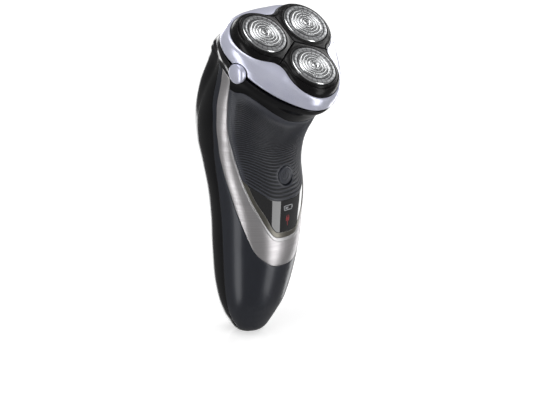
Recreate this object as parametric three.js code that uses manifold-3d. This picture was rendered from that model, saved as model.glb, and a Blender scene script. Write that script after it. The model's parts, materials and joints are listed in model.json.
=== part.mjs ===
// Electric shaver with three rotary heads: handle shells, drive train, flip-open shaving unit and
// pop-up trimmer, each as a separate solid. Millimetres, +Z up, front towards -Y.
import * as THREE from "three";
import { mergeVertices } from "three/addons/utils/BufferGeometryUtils.js";
import Module from "manifold-3d";

const wasm = await Module();
wasm.setup();

// ---------------------------------------------------------------- driving dimensions
const HANDLE_HEIGHT = 150;        // foot to the middle of the shaving face
const HANDLE_WIDTH = 56.6;        // across the widest part of the grip
const HANDLE_DEPTH = 51.2;        // front to back at the same place
const FACE_TILT = 37.6;           // degrees that the shaving face leans forward
const FACE_FORWARD = 30.6;        // how far the face's middle sits in front of the foot
const WALL = 2.2;                 // outer shells
const GAP = 0.3;                  // between neighbouring pieces
const CUTTER_PITCH = 15.66;       // shaving face's middle to each cutter's axis
const PETAL_BRIDGE = 4.58;        // between two neighbouring guards
const GUARD_DEPTH = 5;
const GUARD_WALL = 0.6;
const RIM_LOBE = 17.5;            // silver rim: lobe radius about each cutter's axis
const RIM_WAIST = 29.7;           // silver rim: reach between two lobes
const PETAL_LOBE = 15.2;
const PETAL_WAIST = 18.8;
const RIM_FOOT = -12.4;           // heights below are along the face's normal, 0 at the guards
const COLLAR_TOP = -13.2;
const CHAMBER_FLOOR = -19.4;
const GEAR_TOP = -21.0;
const GEAR_THICKNESS = 2.6;
const PLATE_THICKNESS = 1.3;
const PINION_TEETH = 18;
const SPINDLE_TEETH = 20;
const SPINDLE_RADIUS = 1.9;
const MOTOR_RADIUS = 10.2;
const MOTOR_LENGTH = 23;
const BATTERY_RADIUS = 7;
const BATTERY_LENGTH = 50;
const BOARD_WIDTH = 22;
const BOARD_THICKNESS = 1.2;
const POWER_BUTTON_RADIUS = 4.4;
const POWER_BUTTON_HEIGHT = 82.9;
const RELEASE_RADIUS = 4.6;
const PIN_RADIUS = 0.7;
const KNUCKLE_RADIUS = 1.5;
const TRIMMER_WIDTH = 26;
const TRIMMER_DEPTH = 6;
const TRIMMER_LIP = 0.8;          // opening below the trimmer, which its lower end swings through
const SOCKET_HEIGHT = 12;         // middle of the charging inlet above the foot
const SOCKET_WIDTH = 7.8;
const SOCKET_TALL = 5;

// ---------------------------------------------------------------- colours
const finish = (color, roughness, metalness) =>
  new THREE.MeshStandardMaterial({ color, roughness, metalness });
const FINISH = {
  frontPlastic: () => finish(0x2b2e38, 0.3, 0.2),
  glossBlack: () => finish(0x0c0c0f, 0.12, 0),
  brushed: () => finish(0x97948f, 0.35, 1),
  bronze: () => finish(0x5f5a50, 0.4, 0.8),
  rubber: () => finish(0x2f343d, 0.65, 0),
  window: () => finish(0x08080a, 0.05, 0),
  silver: () => finish(0xb4b4c4, 0.3, 0.7),
  chrome: () => finish(0xd8d8dc, 0.12, 1),
  satinBlack: () => finish(0x17161a, 0.4, 0),
  inner: () => finish(0x3a3c40, 0.6, 0),
  nylon: () => finish(0xd9d6c8, 0.5, 0),
  steel: () => finish(0xb9bcc0, 0.25, 1),
  board: () => finish(0x1d5a38, 0.6, 0),
  cell: () => finish(0x2f5f9c, 0.4, 0),
  seal: () => finish(0x7a2f2a, 0.8, 0),
  light: () => finish(0xe8e8e8, 0.2, 0),
};

// ---------------------------------------------------------------- solids
const radians = THREE.MathUtils.degToRad;

/** A closed geometry as a solid, optionally moved by a matrix. */
function solid(geometry, matrix) {
  const bare = geometry.clone();
  if (matrix) bare.applyMatrix4(matrix);
  bare.deleteAttribute("normal");
  bare.deleteAttribute("uv");
  const merged = mergeVertices(bare, 1e-4);
  const index = merged.index.array;
  const triangles = [];
  for (let i = 0; i < index.length; i += 3) {
    const [a, b, c] = [index[i], index[i + 1], index[i + 2]];
    if (a !== b && b !== c && c !== a) triangles.push(a, b, c);
  }
  return new wasm.Manifold(new wasm.Mesh({
    numProp: 3,
    vertProperties: new Float32Array(merged.attributes.position.array),
    triVerts: new Uint32Array(triangles),
  }));
}

/** A solid as a three.js geometry. */
function surface(body) {
  const mesh = body.getMesh();
  const geometry = new THREE.BufferGeometry();
  geometry.setAttribute("position", new THREE.Float32BufferAttribute(mesh.vertProperties, 3));
  geometry.setIndex(Array.from(mesh.triVerts));
  geometry.computeVertexNormals();
  return geometry;
}

const box = (x0, x1, y0, y1, z0, z1) => {
  const geometry = new THREE.BoxGeometry(x1 - x0, y1 - y0, z1 - z0);
  geometry.translate((x0 + x1) / 2, (y0 + y1) / 2, (z0 + z1) / 2);
  return solid(geometry);
};

/** An upright round bar from one height to another. */
const bar = (radius, low, high, x = 0, y = 0, sides = 18) => {
  const geometry = new THREE.CylinderGeometry(radius, radius, high - low, sides);
  geometry.rotateX(Math.PI / 2);
  geometry.translate(x, y, (low + high) / 2);
  return solid(geometry);
};

/** A round bar along X, centred on (y, z). */
const barX = (radius, x0, x1, y, z, sides = 18) => {
  const geometry = new THREE.CylinderGeometry(radius, radius, x1 - x0, sides);
  geometry.rotateZ(Math.PI / 2);
  geometry.translate((x0 + x1) / 2, y, z);
  return solid(geometry);
};

/** A round bar along Y, centred on (x, z). */
const barY = (radius, y0, y1, x, z, sides = 18) => {
  const geometry = new THREE.CylinderGeometry(radius, radius, y1 - y0, sides);
  geometry.translate(x, (y0 + y1) / 2, z);
  return solid(geometry);
};

/** An outline turned about the upright axis, given from its top on the axis to its foot there. */
const turned = (points, sides = 32) => {
  const outline = points.map(([r, h]) => new THREE.Vector2(r, h)).reverse();
  const geometry = new THREE.LatheGeometry(outline, sides);
  geometry.rotateX(Math.PI / 2);
  return solid(geometry);
};

/** A flat outline given by a polar radius, raised from one height to another. */
const slab = (radiusAt, low, high, steps = 30) => {
  const shape = new THREE.Shape();
  for (let i = 0; i < steps; i++) {
    const angle = (2 * Math.PI * i) / steps;
    const point = [radiusAt(angle) * Math.cos(angle), radiusAt(angle) * Math.sin(angle)];
    if (i === 0) shape.moveTo(...point);
    else shape.lineTo(...point);
  }
  const geometry = new THREE.ExtrudeGeometry(shape, { depth: high - low, bevelEnabled: false });
  geometry.translate(0, 0, low);
  return solid(geometry);
};

const joined = (first, ...rest) => rest.reduce((sum, next) => sum.add(next), first);
const cut = (first, ...rest) => rest.reduce((left, next) => left.subtract(next), first);

/** A closed surface whose rings each hold the same number of points. */
function ringed(rings, looped = false) {
  const count = rings[0].length;
  const position = rings.flat(2);
  const index = [];
  const last = looped ? rings.length : rings.length - 1;
  for (let i = 0; i < last; i++) {
    const next = (i + 1) % rings.length;
    for (let j = 0; j < count; j++) {
      const k = (j + 1) % count;
      const [a, b, c, d] = [i * count + j, i * count + k, next * count + k, next * count + j];
      index.push(a, b, d, b, c, d);
    }
  }
  if (!looped) {
    const middle = (ring) => [0, 1, 2].map((k) => ring.reduce((s, p) => s + p[k], 0) / count);
    const start = rings.length * count;
    position.push(...middle(rings[0]), ...middle(rings[rings.length - 1]));
    for (let j = 0; j < count; j++) {
      const k = (j + 1) % count;
      index.push(start, k, j, start + 1, start - count + j, start - count + k);
    }
  }
  const geometry = new THREE.BufferGeometry();
  geometry.setAttribute("position", new THREE.Float32BufferAttribute(position, 3));
  geometry.setIndex(index);
  return solid(geometry);
}

// ---------------------------------------------------------------- the handle's outer form
const tilt = radians(FACE_TILT);
const guardRadius = CUTTER_PITCH * Math.sin(Math.PI / 3) - PETAL_BRIDGE / 2;
const long = HANDLE_HEIGHT / 150;
const wide = HANDLE_WIDTH / 56.6;
const deep = HANDLE_DEPTH / 51.2;

/** A point on the face's axis, given by its height along the face's normal. */
const onAxis = (h) => [-FACE_FORWARD - h * Math.sin(tilt), HANDLE_HEIGHT + h * Math.cos(tilt)];
const low = (y, z, lean, a, b) => [y, z * long, lean, a * wide, b * deep, 0];
const high = (h, a, b, lobes) => [...onAxis(h), FACE_TILT, a, b, lobes];

// Cross-sections from the foot to the collar's rim:
// centre y, centre z, lean in degrees, half width, half depth, share of the three-lobed outline
const SECTIONS = [
  low(0.3, 0.0, 0, 6.4, 6.2),
  low(0.5, 1.8, 0, 8.6, 8.4),
  low(0.5, 5.0, 0, 10.7, 10.5),
  low(0.2, 9.8, 0, 13.3, 13.1),
  low(-0.8, 17, 0, 16.1, 16.1),
  low(-1.8, 28, 0, 18.5, 18.8),
  low(-3.3, 43, 0, 20.4, 20.8),
  low(-3.9, 58, 0, 21.3, 21.8),
  low(-3.7, 73, 0, 22.9, 22.7),
  low(-1.2, 86, 1, 24.2, 22.8),
  low(-0.3, 97, 5, 26.2, 24.3),
  low(-2.2, 107, 14, 28.0, 25.4),
  [...low(-7.0, 117.5, 27, 28.6, 26.0).slice(0, 5), 0.15],
  high(-28, 28.6, 26.2, 0.4),
  high(-20, 29.6, 28.2, 0.8),
  high(-16, 31.0, 30.8, 1),
  high(COLLAR_TOP, 31.5, 31.5, 1),
];
const TOP = SECTIONS.length - 1;
const CHAMBER_ROW = 14;            // cross-section beside the hair chamber's floor
const PLATE_ROW = 13.25;           // cross-section beside the gear plate
const FULLNESS = 2.12;            // exponent of the oval sections, 2 is an ellipse
const COLLAR_LOBE = 17.2;
const COLLAR_WAIST = 29.3;

/** A smooth curve through rows of numbers, read at a row number that need not be whole. */
function along(rows, t) {
  const last = rows.length - 1;
  const i = Math.min(Math.floor(Math.max(t, 0)), last - 1);
  const f = Math.min(Math.max(t, 0), last) - i;
  const row = (k) => (n) => rows[Math.min(Math.max(k, 0), last)][n];
  const before = (n) => (i > 0 ? row(i - 1)(n) : 2 * row(0)(n) - row(1)(n));
  const after = (n) => (i + 2 <= last ? row(i + 2)(n) : 2 * row(last)(n) - row(last - 1)(n));
  return rows[0].map((_, n) => {
    const [a, b, c, d] = [before(n), row(i)(n), row(i + 1)(n), after(n)];
    const quadratic = (2 * a - 5 * b + 4 * c - d) * f ** 2;
    return 0.5 * (2 * b + (c - a) * f + quadratic + (3 * b - a - 3 * c + d) * f ** 3);
  });
}

/** Polar radius of three equal lobes joined by wide arcs, one lobe at 30, 150 and 270 degrees. */
function threeLobes(angle, lobe, waist) {
  const reach = waist - lobe;
  const arcCentre = (reach ** 2 - CUTTER_PITCH ** 2) / (2 * reach - CUTTER_PITCH);
  const arcRadius = waist - arcCentre;
  const arcX = arcCentre / 2;
  const arcY = (arcCentre * Math.sqrt(3)) / 2;
  const side = Math.sign(arcRadius);
  const length = Math.hypot(CUTTER_PITCH - arcX, arcY);
  const joinX = CUTTER_PITCH + (side * lobe * (CUTTER_PITCH - arcX)) / length;
  const joinY = (-side * lobe * arcY) / length;
  const turn = (2 * Math.PI) / 3;
  const shifted = angle - Math.PI / 6 + turn / 2;
  const fromLobe = Math.abs(shifted - turn * Math.floor(shifted / turn) - turn / 2);
  if (fromLobe < Math.atan2(joinY, joinX)) {
    const across = CUTTER_PITCH * Math.sin(fromLobe);
    return CUTTER_PITCH * Math.cos(fromLobe) + Math.sqrt(Math.max(lobe ** 2 - across ** 2, 0));
  }
  const fromWaist = turn / 2 - fromLobe;
  const across = arcCentre * Math.sin(fromWaist);
  return arcCentre * Math.cos(fromWaist) + side * Math.sqrt(Math.max(arcRadius ** 2 - across ** 2, 0));
}

/** Polar radius of one cross-section of the handle. */
function sectionRadius([, , , a, b, lobes], angle) {
  const oval = (Math.abs(Math.cos(angle) / a) ** FULLNESS
    + Math.abs(Math.sin(angle) / b) ** FULLNESS) ** (-1 / FULLNESS);
  const lobed = (threeLobes(angle, COLLAR_LOBE, COLLAR_WAIST) * a) / 31.5;
  return oval * (1 - lobes) + lobed * lobes;
}

/** Half the handle's inner width at one row number and one Y, less an inset. */
function halfWidth(t, y, inset) {
  const [middle, , , a, b] = along(SECTIONS, t);
  const share = Math.abs((y - middle) / (b - inset));
  return (a - inset) * (1 - share ** FULLNESS) ** (1 / FULLNESS);
}

/** A closed solid of the handle's form, shrunk by an inset, between two row numbers. */
function handleForm(inset, from, to, step, sides, extend = 0) {
  const rows = [along(SECTIONS, from)];
  const first = step * (Math.floor(from / step + 0.2) + 1);
  for (let t = first; t < to - 0.2 * step; t += step) rows.push(along(SECTIONS, t));
  rows.push(along(SECTIONS, to));
  if (extend) {
    const top = rows[rows.length - 1].slice();
    top[0] -= extend * Math.sin(tilt);
    top[1] += extend * Math.cos(tilt);
    rows.push(top);
  }
  return ringed(rows.map((row) => Array.from({ length: sides }, (_, j) => {
    const angle = (2 * Math.PI * j) / sides;
    const radius = sectionRadius(row, angle) - inset;
    const depth = radius * Math.sin(angle);
    const lean = radians(row[2]);
    const y = row[0] + depth * Math.cos(lean);
    return [radius * Math.cos(angle), y, row[1] + depth * Math.sin(lean)];
  })));
}

// ---------------------------------------------------------------- seam lines on the handle
// Each point: row number along the sections, then place across the depth, -1 front and 1 back.
const SEAM = [[0, -0.75], [0.6, -0.5], [1.4, -0.15], [3.2, 0], [4.6, 0], [5.6, 0.01], [6.7, 0.03],
  [7.9, 0.03], [9.07, -0.05], [10.4, -0.12], [11.4, -0.03], [12.2, 0.16], [13, 0.32], [13.9, 0.42]];
const TRIM_OUTER = [[5.66, -1.08], [5.69, -0.97], [5.9, -0.87], [6.3, -0.7], [7.3, -0.44],
  [8, -0.31], [8.8, -0.25], [9.5, -0.23], [10.6, -0.21], [11.6, -0.09], [12.4, 0.07], [13.2, 0.2],
  [13.9, 0.28]];
const TRIM_INNER = [[6.62, -1.08], [6.68, -0.97], [6.95, -0.9], [7.36, -0.81], [7.95, -0.68],
  [8.45, -0.615], [8.8, -0.585], [9.5, -0.54], [10.75, -0.45], [12, -0.28], [12.77, -0.12],
  [13.3, -0.03], [13.9, 0.05]];
const WINDOW_EDGE = [[6.72, -1.08], [6.78, -0.97], [7.05, -0.92], [7.42, -0.86], [8, -0.735],
  [8.5, -0.675], [8.9, -0.64], [9.4, -0.6]];
const GRIP_EDGE = [[7.84, -1.1], [7.95, -0.95], [8.26, -0.82], [8.66, -0.63], [9, -0.45]];
const COLLAR_EDGE = [[13.2, -1.1], [13.28, -1], [13.6, -0.82], [13.9, -0.52], [13.8, -0.3],
  [13.4, -0.17], [13.25, -0.04], [13.22, 0.09], [13.26, 0.26], [13.42, 0.38], [13.75, 0.5],
  [14.15, 0.62], [14.45, 0.8], [14.55, 1.1]];
const FAR = 90;

/** Side view of a seam line as (y, z) points, moved sideways; more is towards the back or up. */
function sideLine(points, shift, steps = 16) {
  const line = [];
  for (let i = 0; i <= steps; i++) {
    const [t, depth] = along(points, ((points.length - 1) * i) / steps);
    const row = along(SECTIONS, t);
    const lean = radians(row[2]);
    line.push(new THREE.Vector2(
      row[0] + depth * row[4] * Math.cos(lean),
      row[1] + depth * row[4] * Math.sin(lean),
    ));
  }
  return line.map((point, i) => {
    const ahead = line[Math.min(i + 1, steps)].clone().sub(line[Math.max(i - 1, 0)]).normalize();
    return point.clone().add(new THREE.Vector2(ahead.y, -ahead.x).multiplyScalar(shift));
  });
}

/** A prism along X whose side view is the polygon. */
function prism(points, halfWidth = FAR) {
  const shape = new THREE.Shape(points);
  const geometry = new THREE.ExtrudeGeometry(shape, { depth: 2 * halfWidth, bevelEnabled: false });
  geometry.translate(0, 0, -halfWidth);
  const turn = new THREE.Matrix4().makeBasis(
    new THREE.Vector3(0, 1, 0), new THREE.Vector3(0, 0, 1), new THREE.Vector3(1, 0, 0));
  return solid(geometry, turn);
}

const at = (y, z) => new THREE.Vector2(y, z);

/** Everything in front of a seam line that climbs from the front face. */
const inFrontOf = (points, shift) => {
  const line = sideLine(points, shift);
  return prism([...line, at(-FAR, line[line.length - 1].y), at(-FAR, line[0].y)]);
};
const behindSeam = (shift) => {
  const line = sideLine(SEAM, shift);
  const end = line[line.length - 1];
  const beyond = at(end.x - 60 * Math.sin(tilt), end.y + 60 * Math.cos(tilt));
  return prism([at(line[0].x, -5), ...line, beyond, at(FAR, beyond.y), at(FAR, -5)]);
};
const aboveLine = (points, shift) => {
  const line = sideLine(points, -shift);
  return prism([at(-FAR, line[0].y - 12), ...line, at(FAR, FAR * 2.2), at(-FAR, FAR * 2.2)]);
};

// ---------------------------------------------------------------- frames
const toHead = new THREE.Matrix4().makeRotationX(tilt).setPosition(0, -FACE_FORWARD, HANDLE_HEIGHT);
const fromHead = toHead.clone().invert();
const inWorld = (body) => body.transform(toHead.elements);
const inHead = (body) => body.transform(fromHead.elements);

const shaver = new THREE.Group();
const head = new THREE.Group();
head.position.set(0, -FACE_FORWARD, HANDLE_HEIGHT);
head.rotation.x = tilt;
shaver.add(head);

/** Adds a solid to a group as a named mesh. */
function piece(group, name, body, material) {
  const mesh = new THREE.Mesh(surface(body), material());
  mesh.name = name;
  group.add(mesh);
  return mesh;
}

const third = (n) => radians(30 + 120 * n);
const cutterX = (n) => CUTTER_PITCH * Math.cos(third(n));
const cutterY = (n) => CUTTER_PITCH * Math.sin(third(n));
const waistAngle = (n) => radians(90 + 120 * n);
const LOBES = [0, 1, 2];

// ---------------------------------------------------------------- handle shells
const outerForm = handleForm(0, 0, TOP, 1, 28);
const innerForm = handleForm(WALL, 1.2, TOP, 1.25, 22, 4);
const shell = outerForm.subtract(innerForm);
const belowCollar = shell.subtract(aboveLine(COLLAR_EDGE, -GAP / 2));
const backHalf = belowCollar.intersect(behindSeam(GAP / 2));
const frontHalf = belowCollar.subtract(behindSeam(-GAP / 2));

// trimmer: a slice of the back that hinges out on a pin near its lower end
const trimmerRow = 10.4;
const trimmerBack = along(SECTIONS, trimmerRow);
const trimmerPinDepth = 5.2;       // the pin's depth below the back, so its ends stay covered
const trimmerPinY = trimmerBack[0] + trimmerBack[4] - trimmerPinDepth;
const trimmerEnd = trimmerPinDepth - 0.2;
const trimmerBottom = trimmerBack[1] + 0.7;
const TRIMMER_MOUTH_ROW = 12.35;
const TRIMMER_TEETH_RISE = 4.1;    // teeth above the mouth
const mouthRow = along(SECTIONS, TRIMMER_MOUTH_ROW);
const mouthLean = radians(mouthRow[2]);
const trimmerTop = mouthRow[1] + mouthRow[4] * Math.sin(mouthLean) + TRIMMER_TEETH_RISE;
const trimmerSlice = (grow, within) => joined(
  box(-TRIMMER_WIDTH / 2 - grow, TRIMMER_WIDTH / 2 + grow, 0, 60, trimmerBottom, trimmerTop + grow)
    .intersect(within),
  barX(trimmerEnd + grow, -TRIMMER_WIDTH / 2 - grow, TRIMMER_WIDTH / 2 + grow,
    trimmerPinY, trimmerBottom, 24).intersect(outerForm),
);
const trimmerSkin = outerForm.subtract(handleForm(TRIMMER_DEPTH, 8, TOP, 1, 26));
const trimmerHole = joined(
  box(-TRIMMER_WIDTH / 2 - GAP, TRIMMER_WIDTH / 2 + GAP, 0, FAR, trimmerBottom, trimmerTop + GAP),
  barX(trimmerPinDepth + TRIMMER_LIP, -TRIMMER_WIDTH / 2 - GAP, TRIMMER_WIDTH / 2 + GAP, trimmerPinY,
    trimmerBottom, 24));

// trimmer slide: a ribbed pad on the back below the trimmer
const slideTop = along(SECTIONS, 9.6);
const slideFoot = along(SECTIONS, 8.2);
const slideLean = Math.atan2(
  slideTop[0] + slideTop[4] - slideFoot[0] - slideFoot[4], slideTop[1] - slideFoot[1]);
const slideY = (slideTop[0] + slideTop[4] + slideFoot[0] + slideFoot[4]) / 2;
const slideZ = (slideTop[1] + slideFoot[1]) / 2 + 3;
const SLIDE_TRAVEL = 6;
const SLIDE_STEM = 3;

const socketSlot = (grow) => box(
  -SOCKET_WIDTH / 2 - grow, SOCKET_WIDTH / 2 + grow, 8, 40,
  SOCKET_HEIGHT - SOCKET_TALL / 2 - grow, SOCKET_HEIGHT + SOCKET_TALL / 2 + grow);
const placeSlide = new THREE.Matrix4().makeRotationX(-slideLean).setPosition(0, slideY, slideZ);
const slideSlot = box(-SLIDE_STEM / 2 - GAP, SLIDE_STEM / 2 + GAP, -8, 6,
  -SLIDE_TRAVEL - 2 * GAP - 2, 2 + 2 * GAP).transform(placeSlide.elements);
const PIN_REACH = 1.5;             // how far the trimmer's pin goes into each lug
const trimmerLug = (side) => {
  const [near, far] = [TRIMMER_WIDTH / 2 + GAP, TRIMMER_WIDTH / 2 + PIN_REACH + 1.3];
  return box(Math.min(side * near, side * far), Math.max(side * near, side * far),
    trimmerPinY - 2.6, FAR, trimmerBottom - 2.6, trimmerBottom + 2.6).intersect(outerForm);
};
const trimmerPin = (grow) => {
  const end = TRIMMER_WIDTH / 2 + PIN_REACH + grow;
  return barX(PIN_RADIUS + grow, -end, end, trimmerPinY, trimmerBottom, 12);
};
piece(shaver, "back_shell", cut(
  joined(cut(backHalf, trimmerHole, socketSlot(0), slideSlot), trimmerLug(-1), trimmerLug(1)),
  trimmerPin(0.15),
), FINISH.glossBlack);
piece(shaver, "front_shell", frontHalf.subtract(inFrontOf(TRIM_OUTER, GAP / 2)), FINISH.frontPlastic);
piece(shaver, "trim_band", frontHalf.intersect(inFrontOf(TRIM_OUTER, -GAP / 2))
  .subtract(inFrontOf(TRIM_INNER, GAP / 2)), FINISH.brushed);

const insideTrim = frontHalf.intersect(inFrontOf(TRIM_INNER, -GAP / 2));
const buttonRow = along(SECTIONS, 8.76);
const buttonFront = buttonRow[0] - buttonRow[4];
const buttonHole = barY(POWER_BUTTON_RADIUS + GAP, -FAR, 0, 0, POWER_BUTTON_HEIGHT * long);
piece(shaver, "rubber_grip", insideTrim.intersect(aboveLine(GRIP_EDGE, GAP / 2))
  .subtract(buttonHole), FINISH.rubber);
const belowGrip = insideTrim.subtract(aboveLine(GRIP_EDGE, -GAP / 2));
piece(shaver, "window_bezel", belowGrip.subtract(inFrontOf(WINDOW_EDGE, GAP / 2)), FINISH.bronze);
piece(shaver, "display_window", belowGrip.intersect(inFrontOf(WINDOW_EDGE, -GAP / 2)), FINISH.window);

// power button: a round cap on a stem that presses the switch on the board
const boardFront = -12.2;
const switchFront = boardFront - 3.4;
const BUTTON_TRAVEL = 0.8;
const buttonZ = POWER_BUTTON_HEIGHT * long;
const buttonCap = barY(POWER_BUTTON_RADIUS, buttonFront - 0.5, buttonFront + WALL - BUTTON_TRAVEL, 0,
  buttonZ);
const buttonStem = barY(1.6, buttonFront + 1, switchFront - BUTTON_TRAVEL - GAP, 0, buttonZ, 16);
piece(shaver, "power_button", buttonCap.add(buttonStem), FINISH.rubber);

// inner frame: the carrier that the grip, trim and window clip onto
const FRAME_WALL = 1.4;
const frameInset = WALL + GAP;
const frameTop = inWorld(box(-FAR, FAR, -FAR, FAR, -29.5, FAR));
const frameForm = handleForm(frameInset + GAP, 3.4, 13.4, 1.25, 22)
  .subtract(handleForm(frameInset + GAP + FRAME_WALL, 2.6, TOP, 1.55, 18));
const innerFrame = frameForm.subtract(behindSeam(-GAP)).intersect(box(-FAR, FAR, -FAR, 0, 17, 2 * FAR));
const lightZ = [67.5 * long, 61 * long];
const LIGHT_RADIUS = 1.6;
const lightHole = (z) => barY(LIGHT_RADIUS + GAP, -FAR, -13, 0, z, 16);
piece(shaver, "inner_frame", cut(innerFrame, frameTop, buttonHole, ...lightZ.map(lightHole)),
  FINISH.inner);

// chassis, board, cell
const chassisFront = -8;
const CHASSIS_THICKNESS = 2;
const chassisFoot = 26 * long;
const chassisHead = 98 * long;
const cellFoot = (chassisFoot + chassisHead - BATTERY_LENGTH) / 2 - 8;
const cellY = chassisFront + CHASSIS_THICKNESS + GAP + BATTERY_RADIUS + 0.6;
const shelf = (z) => box(-BATTERY_RADIUS, BATTERY_RADIUS, chassisFront + 1, cellY + 3, z - 2, z);
const boardBack = boardFront + BOARD_THICKNESS;
const post = (x, z) => barY(2, boardBack + GAP, chassisFront + 1, x, z, 10);
const postHole = (x, z) => barY(0.9, boardBack - 1, chassisFront + 3, x, z, 8);
const boardScrews = [[-8, chassisFoot + 16], [8, chassisHead - 8]];
const CHASSIS_ROW = 4.8;           // cross-section beside the chassis's foot
const chassisHalf = halfWidth(CHASSIS_ROW, chassisFront, frameInset + GAP + FRAME_WALL + 2 * GAP);
piece(shaver, "chassis", cut(joined(
  box(-chassisHalf, chassisHalf, chassisFront, chassisFront + CHASSIS_THICKNESS, chassisFoot, chassisHead),
  shelf(cellFoot - GAP),
  shelf(cellFoot + BATTERY_LENGTH + GAP + 2),
  ...boardScrews.map(([x, z]) => post(x, z)),
), ...boardScrews.map(([x, z]) => postHole(x, z))), FINISH.inner);
const board = box(-BOARD_WIDTH / 2, BOARD_WIDTH / 2, boardFront, boardBack, chassisFoot + 12, chassisHead);
piece(shaver, "circuit_board",
  cut(board, ...boardScrews.map(([x, z]) => barY(1.0, -20, 0, x, z, 8))), FINISH.board);
boardScrews.forEach(([x, z], n) => {
  const screw = joined(barY(1.7, boardFront - GAP - 1.1, boardFront - GAP, x, z, 10),
    barY(0.7, boardFront - GAP - 0.5, chassisFront + 1.5, x, z, 8));
  piece(shaver, `board_screw_${n + 1}`, screw, FINISH.steel);
});
piece(shaver, "battery_cell", joined(
  bar(BATTERY_RADIUS, cellFoot, cellFoot + BATTERY_LENGTH - 1, 0, cellY, 32),
  bar(2.5, cellFoot + 1, cellFoot + BATTERY_LENGTH, 0, cellY, 16),
), FINISH.cell);
piece(shaver, "power_switch", joined(
  box(-3, 3, boardFront - GAP - 2, boardFront - GAP, buttonZ - 3, buttonZ + 3),
  barY(1.3, switchFront, boardFront - GAP - 1, 0, buttonZ, 16),
), FINISH.satinBlack);
const windowRow = along(SECTIONS, 7.4);
const windowBack = windowRow[0] - windowRow[4] + WALL + 2 * GAP;
["charge_light", "plug_light"].forEach((name, n) => {
  piece(shaver, name, barY(LIGHT_RADIUS, windowBack + 0.6, boardFront - GAP, 0, lightZ[n], 16),
    FINISH.light);
});

// charging inlet
const inletMouth = 8.2;
const inletBody = box(-SOCKET_WIDTH / 2 - 1.3, SOCKET_WIDTH / 2 + 1.3, -2, inletMouth,
  SOCKET_HEIGHT - SOCKET_TALL / 2 - 1.3, SOCKET_HEIGHT + SOCKET_TALL / 2 + 1.3);
const inletCavity = box(-SOCKET_WIDTH / 2, SOCKET_WIDTH / 2, 0, inletMouth + 1,
  SOCKET_HEIGHT - SOCKET_TALL / 2, SOCKET_HEIGHT + SOCKET_TALL / 2);
const INLET_PIN = 0.6;
const inletPins = [-1.9, 1.9];
piece(shaver, "charging_socket", cut(inletBody, inletCavity,
  ...inletPins.map((x) => barY(INLET_PIN + GAP, -3, 1, x, SOCKET_HEIGHT, 8))), FINISH.satinBlack);
inletPins.forEach((x, n) => {
  piece(shaver, `inlet_pin_${n + 1}`, barY(INLET_PIN, -3.5, 3, x, SOCKET_HEIGHT, 8), FINISH.steel);
});

// ---------------------------------------------------------------- collar, hair chamber, drive
const HINGE_X = 29.6;
const HINGE_H = -12.9;
const HINGE_RELIEF = 2.9;          // room for the rim's edge to swing down past the collar
const knuckle = (y0, y1, grow = 0) => barY(KNUCKLE_RADIUS + grow, y0, y1, HINGE_X, HINGE_H);
const KNUCKLE = 4;                 // length of each knuckle along the pin
const collarKnuckles = [[-1.5 * KNUCKLE, -0.5 * KNUCKLE - GAP], [0.5 * KNUCKLE + GAP, 1.5 * KNUCKLE]];
const headKnuckle = [-0.5 * KNUCKLE, 0.5 * KNUCKLE];
const pinHole = barY(PIN_RADIUS + 0.15, -1.5 * KNUCKLE - 1, 1.5 * KNUCKLE + 1, HINGE_X, HINGE_H, 12);

const RELEASE_Y = -1.2;
const RELEASE_H = -14;
const releaseAxis = (radius, x0, x1, sides = 28) => barX(radius, x0, x1, RELEASE_Y, RELEASE_H, sides);
const collarInHead = inHead(shell.intersect(aboveLine(COLLAR_EDGE, GAP / 2)));
const collarLug = ([y0, y1]) => box(HINGE_X - 2.6, HINGE_X, y0, y1, HINGE_H - 5, HINGE_H)
  .add(knuckle(y0, y1));
const hingeRelief = barY(HINGE_RELIEF, -10, 16, HINGE_X, HINGE_H);
piece(head, "head_collar", cut(
  joined(
    cut(collarInHead, hingeRelief),
    ...collarKnuckles.map(collarLug)),
  pinHole,
  releaseAxis(RELEASE_RADIUS + GAP, -40, -20),
), FINISH.glossBlack);
piece(head, "hinge_pin", barY(PIN_RADIUS, -1.5 * KNUCKLE, 1.5 * KNUCKLE, HINGE_X, HINGE_H, 12),
  FINISH.steel);

// hair chamber: a cup with three spindle towers and a pocket for the release button
const innerRadius = (t, inset) => {
  const row = along(SECTIONS, t);
  return (angle) => sectionRadius(row, angle) - inset;
};
const chamberInset = WALL + GAP + 0.8;
const chamberOut = innerRadius(CHAMBER_ROW, chamberInset);
const CHAMBER_WALL = 1.2;
const TOWER_RADIUS = SPINDLE_RADIUS + 2;
const towerHole = SPINDLE_RADIUS + 0.5;
const releasePocket = -23.4;
const chamberScrewAt = LOBES.map((n) => [19 * Math.cos(waistAngle(n)), 19 * Math.sin(waistAngle(n))]);
const chamber = cut(
  joined(
    cut(slab(chamberOut, CHAMBER_FLOOR - CHAMBER_WALL, COLLAR_TOP - 0.4),
      slab((a) => chamberOut(a) - CHAMBER_WALL, CHAMBER_FLOOR, 0)),
    ...LOBES.map((n) => bar(TOWER_RADIUS, CHAMBER_FLOOR - 0.5, CHAMBER_FLOOR + 2, cutterX(n), cutterY(n))),
    releaseAxis(RELEASE_RADIUS + 1.7, -24.9, releasePocket + 1.2)
      .intersect(box(-40, 0, -20, 20, CHAMBER_FLOOR - CHAMBER_WALL, COLLAR_TOP - 0.4)),
  ),
  ...LOBES.map((n) => bar(towerHole, -30, 0, cutterX(n), cutterY(n))),
  ...chamberScrewAt.map(([x, y]) => bar(1.0, -30, 0, x, y, 8)),
  releaseAxis(RELEASE_RADIUS + 0.5, -40, releasePocket)
    .intersect(box(-40, 0, -20, 20, CHAMBER_FLOOR, 0)),
);
piece(head, "hair_chamber", chamber, FINISH.satinBlack);
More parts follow.
